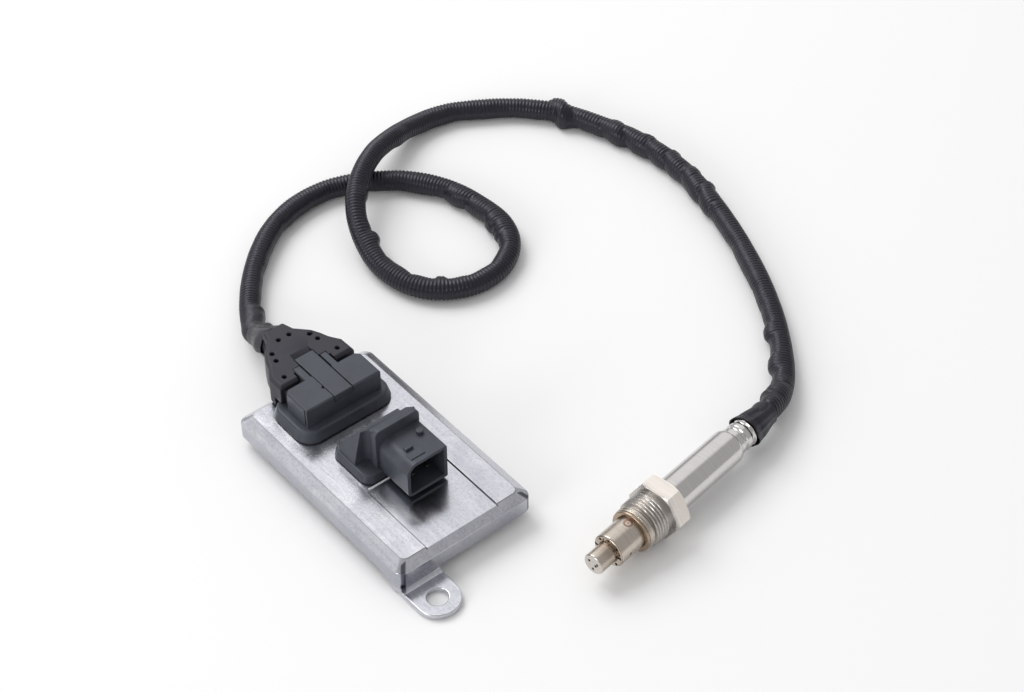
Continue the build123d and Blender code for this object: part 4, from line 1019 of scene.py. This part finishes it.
def coverWithPaintedLight(name, colour, shade, m):
    # painted shade: dark lines where y is half the recess's width and x is past its start; a painted
    # highlight: a bright line across at its start; a painted dark reflection down each outer corner,
    # where the distance from the line through the lid's corner at the reflection's angle is small;
    # painted shade: a dull line at the height of the lid's edge, and a darker band below the bevels
    made, tree, shader, tone, rough = drawnAluminium(name, colour, shade)
    x, y, z = objectParts(tree)
    side = maths(tree, "ABSOLUTE", y)
    onLid = past(tree, z, m["lidHeight"], 0.1)
    # painted shade: dark lines along the recess's long sides
    atSide = nearTo(tree, side, m["recessHalf"], m["lineReach"])
    recessShade = times(tree, atSide, past(tree, x, m["recessStart"] + 1), onLid)
    tone = mixed(tree, recessShade, tone, m["recessShadeTone"])
    # painted highlight: a bright line across the recess's rear step
    within = minus(tree, 1.0, past(tree, side, m["recessHalf"] - 1))
    step = times(tree, nearTo(tree, x, m["recessStart"], m["stepReach"]), times(tree, within, onLid))
    tone = mixed(tree, step, tone, m["stepHighlightTone"])
    rough = mixed(tree, step, rough, (0.8, 0.8, 0.8))
    # painted dark reflection down each outer corner of the cover
    out = minus(tree, x, m["cornerX"] * mm)
    off = minus(tree, side, m["cornerY"] * mm)
    turn = math.radians(m["cornerReflectionAngle"])
    across = minus(tree, times(tree, out, math.sin(turn)), times(tree, off, math.cos(turn)))
    below = minus(tree, 1.0, past(tree, z, m["lidHeight"] + 0.2, 0.4))
    creaseAndCornerReflection = times(tree, nearTo(tree, across, 0.0, m["cornerReflectionReach"]), past(tree, out, 0.4), below)
    creaseAndCornerReflection = times(tree, creaseAndCornerReflection, past(tree, z, m["cornerReflectionFoot"], 0.6), m["cornerReflectionShare"])
    tone = mixed(tree, creaseAndCornerReflection, tone, m["cornerReflectionTone"])
    # painted shade on the lid's rounded edge, in place of its highlight
    atEnd = past(tree, maths(tree, "ABSOLUTE", x), m["edgeX"], 0.1)
    atEdge = maths(tree, "MAXIMUM", atEnd, past(tree, side, m["edgeY"], 0.1))
    edge = times(tree, nearTo(tree, z, m["edgeHeight"], m["edgeReach"]), atEdge, m["edgeShare"])
    tone = mixed(tree, edge, tone, m["edgeShadeTone"])
    rough = mixed(tree, edge, rough, (0.65, 0.65, 0.65))
    # painted shade: the band below the bevels is darker
    band = minus(tree, past(tree, z, m["bandFoot"], 0.5), past(tree, z, m["bandTop"], 0.15))
    tone = mixed(tree, band, tone, m["bandPaintedShade"], "MULTIPLY")
    setInputs(shader, {"Base Color": tone, "Roughness": rough})
    return made


def plainSheet(name, colour, shade):
    made, tree, shader, tone, rough = drawnAluminium(name, colour, shade)
    setInputs(shader, {"Base Color": tone, "Roughness": rough})
    return made


def moulding(name, colour, roughness, grain=5200, variation=0.16):
    # moulded plastic: fine spark grain, faint flow marks in tone and gloss
    made, tree, shader = newMaterial(name, colour, roughness)
    flow = stretchedNoise(tree, (90, 90, 90), 4.0, distortion=0.8)
    spark = stretchedNoise(tree, (grain, grain, grain), 2.0)
    darker, lighter = shades(colour, 1 - variation, 1 + variation)
    setInputs(shader, {
        "Base Color": ramp(tree, flow, [(0.32, darker), (0.68, lighter)]),
        "Roughness": ramp(tree, flow, [(0.3, roughness - 0.07), (0.7, roughness + 0.07)]),
        "Specular IOR Level": 0.42,
        "Specular Tint": (0.90, 0.93, 1.0, 1),
        "Normal": bump(tree, spark, 0.22, 0.05),
    })
    return made


def filmOverRibs(name, colour):
    # shrink film: glossy where it is tight on a rib, cloudier where it hangs loose, finely creased
    made, tree, shader = newMaterial(name, colour, 0.38)
    creaseAndCornerReflection = stretchedNoise(tree, (420, 420, 420), 5.0, roughness=0.65, distortion=1.4)
    dust = stretchedNoise(tree, (900, 900, 900), 3.0)
    colour, tint = shades(colour, 1.0, 1.9)
    tight = ramp(tree, creaseAndCornerReflection, [(0.3, 0.24), (0.7, 0.42)])
    hanging = ramp(tree, creaseAndCornerReflection, [(0.3, 0.27), (0.7, 0.50)])
    setInputs(shader, {
        "Base Color": ramp(tree, dust, [(0.42, colour), (0.72, tint)]),
        "Roughness": mixed(tree, attribute(tree, "loose"), tight, hanging),
        "Specular IOR Level": 0.46,
        "Specular Tint": (0.86, 0.88, 1.0, 1),
        "Normal": bump(tree, creaseAndCornerReflection, 0.30, 0.25),
    })
    return made


def turnedSteel(name, colour, roughness, tints=None, rings=2600, ringTone=0.80, ringBump=0.12, spot=None):
    # turned or drawn metal: fine rings round the probe's axis, tints by station along it, and a
    # reddish ring where the distance from the weld's middle is near its radius
    made, tree, shader = newMaterial(name, colour, roughness, 1.0)
    # the mapping turns the probe's axis to X, so cells are short along the axis and long round it
    axisToX = (0, 0, -probeHeading)
    ringNoise = stretchedNoise(tree, (rings, 55, 55), 4.0, axisToX, 0.6)
    stains = stretchedNoise(tree, (150, 150, 150), 5.0, axisToX, 0.6, 0.7)
    tone = ramp(tree, ringNoise, [(0.30, shades(colour, ringTone)[0]), (0.66, colour)])
    if tints:
        turn = node(tree, "ShaderNodeMapping", {"Vector": objectPlace(tree), "Rotation": axisToX})
        parts = node(tree, "ShaderNodeSeparateXYZ", {0: turn.outputs["Vector"]})
        station = minus(tree, parts.outputs[0], float(probeOrigin[:2] @ probeDirection[:2]) * mm)
        first, last, stops = tints
        share = maths(tree, "DIVIDE", minus(tree, station, first * mm), (last - first) * mm)
        wander = times(tree, minus(tree, stains, 0.5), 0.10)
        tinted = ramp(tree, maths(tree, "ADD", share, wander, clamp=True), stops)
        ringed = ramp(tree, ringNoise, [(0.3, 0.82), (0.66, 1.0)])
        tone = mixed(tree, 0.75, tone, mixed(tree, 1.0, tinted, ringed, "MULTIPLY"))
    if spot:
        middle, radius, reddish = spot
        there = tuple(c * mm for c in middle)
        apart = node(tree, "ShaderNodeVectorMath", {0: objectPlace(tree), 1: there}, operation="DISTANCE")
        away = apart.outputs["Value"]
        ring, dot = nearTo(tree, away, radius, 0.62), nearTo(tree, away, 0.0, 0.55)
        weld = maths(tree, "ADD", ring, dot, clamp=True)
        tone = mixed(tree, times(tree, weld, 0.8), tone, reddish)
    setInputs(shader, {
        "Base Color": tone,
        "Roughness": ramp(tree, stains, [(0.3, roughness - 0.06), (0.7, roughness + 0.08)]),
        "Normal": bump(tree, ringNoise, ringBump, 0.04),
    })
    return made


def plainFinish(name, colour, roughness, metallic=0.0):
    # small parts: a fine grain in tone and bump
    made, tree, shader = newMaterial(name, colour, roughness, metallic)
    grain = stretchedNoise(tree, (900, 900, 900), 4.0)
    setInputs(shader, {
        "Base Color": ramp(tree, grain, [(0.35, shades(colour, 0.82)[0]), (0.65, colour)]),
        "Normal": bump(tree, grain, 0.2, 0.06),
    })
    return made


finishes = {
    "cover": coverWithPaintedLight("drawnCover", (0.69, 0.69, 0.73), (0.62, 0.625, 0.665), coverPaintedLight),
    "base": plainSheet("pressedTray", (0.60, 0.61, 0.64), (0.53, 0.54, 0.57)),
    "header": moulding("headerMoulding", (0.048, 0.053, 0.066), 0.44),
    "plug": moulding("plugMoulding", (0.050, 0.055, 0.068), 0.47),
    "boot": moulding("bootMoulding", (0.021, 0.020, 0.027), 0.50, grain=3600),
    "film": filmOverRibs("shrinkFilm", (0.0070, 0.0068, 0.0104)),
    "tubes": turnedSteel("tintedTubes", (0.60, 0.53, 0.46), 0.24, (-36, -12, [
        (0.0, (0.64, 0.62, 0.60)), (0.08, (0.60, 0.53, 0.46)), (0.36, (0.34, 0.25, 0.18)),
        (0.42, (0.62, 0.55, 0.48)), (0.80, (0.60, 0.54, 0.48)), (1.0, (0.36, 0.27, 0.19)),
    ]), ringTone=0.88, ringBump=0.07, spot=((91.48, 47.21, 18.1), 1.5, (0.26, 0.13, 0.11))),
    "body": turnedSteel("bodySteel", (0.58, 0.53, 0.47), 0.26),
    "gasket": turnedSteel("gasketBronze", (0.46, 0.36, 0.27), 0.26),
    "nut": turnedSteel("nutPlating", (0.86, 0.80, 0.74), 0.30, (-10, 8, [
        (0.0, (0.46, 0.43, 0.40)), (0.5, (0.52, 0.51, 0.50)), (0.575, (0.60, 0.57, 0.55)),
        (0.63, (0.88, 0.82, 0.76)), (1.0, (0.88, 0.82, 0.76)),
    ]), ringTone=0.92, ringBump=0.06),
    "sleeve": turnedSteel(
        "drawnSleeve", (0.66, 0.64, 0.63), 0.13, rings=1500, ringTone=0.93, ringBump=0.03,
    ),
    # painted shade for the inside of the protection tubes
    "insideShade": plainFinish("tubeInsideShade", (0.012, 0.011, 0.010), 0.85),
    "rubber": plainFinish("sealRubber", (0.02, 0.02, 0.022), 0.7),
    "pins": plainFinish("tinnedPins", (0.74, 0.68, 0.52), 0.3, 1.0),
    # painted shade: the vehicle socket's blades are dark, as in the socket's shadow
    "blades": plainFinish("bladesInPaintedShade", (0.13, 0.12, 0.10), 0.5, 1.0),
    "laminate": plainFinish("boardLacquer", (0.03, 0.16, 0.07), 0.35),
    "chips": plainFinish("chipCase", (0.03, 0.03, 0.03), 0.6),
    "cans": plainFinish("capacitorCan", (0.7, 0.7, 0.72), 0.35, 1.0),
    "ceramic": plainFinish("whiteCeramic", (0.80, 0.78, 0.73), 0.55),
    "powder": plainFinish("pressedPowder", (0.52, 0.51, 0.48), 0.8),
}
pieceFinish = {
    "cover": ("housingCover",),
    "base": ("basePlate",),
    "header": ("sensorHeader", "vehicleHeader"),
    "plug": ("plugHousing", "plugLatch"),
    "boot": ("plugBoot",),
    "tubes": ("tipTube", "outerTube"),
    "sleeve": ("rearSleeve",),
    "body": ("sensorBody",),
    "gasket": ("gasketRing",),
    "nut": ("unionNut",),
    "film": ("harnessCuff",),
}
nodeFinish = {
    "rubber": ("base_seal", "sensor_header_seal", "vehicle_header_seal", "cable_seal"),
    "laminate": ("circuit_board",),
    "chips": ("processor_chip", "heater_driver"),
    "cans": ("buffer_capacitors",),
    "pins": ("sensor_header_pins", "plug_terminals", "contact_springs"),
    "blades": ("vehicle_header_pins",),
    "ceramic": ("sensing_element", "front_ceramic", "rear_ceramic", "contact_holder"),
    "powder": ("powder_seal",),
}
for finish, names in pieceFinish.items():
    for name in names:
        pieces[name].data.materials.clear()
        pieces[name].data.materials.append(finishes[finish])
# painted shade: inside the two protection tubes, faces well within the outer radius and behind
# the front face get a near-black finish, so that the gas holes show dark
shadeMargin = 0.22
shadedInsides = {"tipTube": (4.5, -35.4), "outerTube": (7.1, -26.6)}
for name, (outside, front) in shadedInsides.items():
    mesh = pieces[name].data
    mesh.materials.append(finishes["insideShade"])
    fromHex = readBack(mesh.polygons, "center") / mm - probeOrigin
    station = fromHex @ probeDirection
    reach = np.linalg.norm(fromHex - station[:, None] * probeDirection, axis=1)
    inner = (reach < outside - shadeMargin) & (station > front + shadeMargin)
    mesh.polygons.foreach_set("material_index", inner.astype(int))
for piece in (harnessPiece, neckFilmPiece):
    piece.data.materials.append(finishes["film"])
for finish, names in nodeFinish.items():
    for name in names:
        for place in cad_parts[name].material_slots:
            place.material = finishes[finish]
print("finished", len(finishes), "materials")


# Studio, in metres: pale floor, a broad lamp up on the left, a low one in front, and a pale surround
studio = {
    "floorColour": (0.96, 0.96, 0.96),
    "floorSize": 12.0,
    "floorHeight": -0.0002,
    "surround": 0.50,
    "panels": (
        # towards, share of white, cosines where the panel starts and where it is full
        ((-0.55, 0.46, 0.70), 1.0, 0.79, 0.97),
        ((-0.62, -0.60, 0.50), 0.44, 0.78, 0.95),
    ),
    "lamps": (
        # name, place, aim, size across and along, power in watts
        ("broad", (-1.60, -0.13, 1.90), (0.0, 0.05, 0.0), 1.5, 1.5, 30.0),
        ("lowSide", (0.22, -2.05, 0.77), (0.0, 0.05, 0.0), 0.9, 0.9, 13.0),
    ),
}


def addStudio(s):
    bpy.ops.mesh.primitive_plane_add(size=s["floorSize"], location=(0, 0, s["floorHeight"]))
    floor = bpy.context.object
    floor.name = "studioFloor"
    made, tree, shader = newMaterial("studioFloor", s["floorColour"], 0.9)
    setInputs(shader, {"Specular IOR Level": 0.1})
    floor.data.materials.append(made)
    world = bpy.data.worlds.new("studioWorld")
    world.use_nodes = True
    bpy.context.scene.world = world
    tree = world.node_tree
    tree.nodes.clear()
    # plain white for the camera and through glass, and in metal where one of two soft panels is; the
    # light itself is a pale surround, brighter towards those panels
    way = node(tree, "ShaderNodeTexCoord").outputs["Generated"]
    panels = 0.0
    for towards, share, begin, full in s["panels"]:
        cosine = node(tree, "ShaderNodeVectorMath", {0: way, 1: towards}, operation="DOT_PRODUCT")
        panel = eased(tree, cosine.outputs["Value"], begin, full, 0.0, share)
        panels = maths(tree, "ADD", panel, panels, clamp=True)
    level = maths(tree, "ADD", times(tree, panels, 1.0 - s["surround"]), s["surround"])
    path = node(tree, "ShaderNodeLightPath").outputs
    white = maths(tree, "MAXIMUM", path["Is Camera Ray"], path["Is Transmission Ray"])
    white = maths(tree, "MAXIMUM", white, times(tree, path["Is Glossy Ray"], panels))
    light = node(tree, "ShaderNodeBackground", {"Color": (1, 1, 1, 1), "Strength": level})
    seen = node(tree, "ShaderNodeBackground", {"Color": (1, 1, 1, 1), "Strength": 1.0})
    choice = node(tree, "ShaderNodeMixShader", {0: white, 1: light.outputs[0], 2: seen.outputs[0]})
    node(tree, "ShaderNodeOutputWorld", {"Surface": choice.outputs[0]})
    for name, place, aim, across, alongIt, power in s["lamps"]:
        data = bpy.data.lights.new(name, "AREA")
        data.shape = "RECTANGLE"
        data.size = across
        data.size_y = alongIt
        data.energy = power
        lamp = bpy.data.objects.new(name, data)
        lamp.location = place
        lamp.rotation_euler = (Vector(aim) - Vector(place)).to_track_quat("-Z", "Y").to_euler()
        bpy.context.scene.collection.objects.link(lamp)


addStudio(studio)
bpy.context.scene.view_settings.view_transform = "Standard"
print("studio lit")
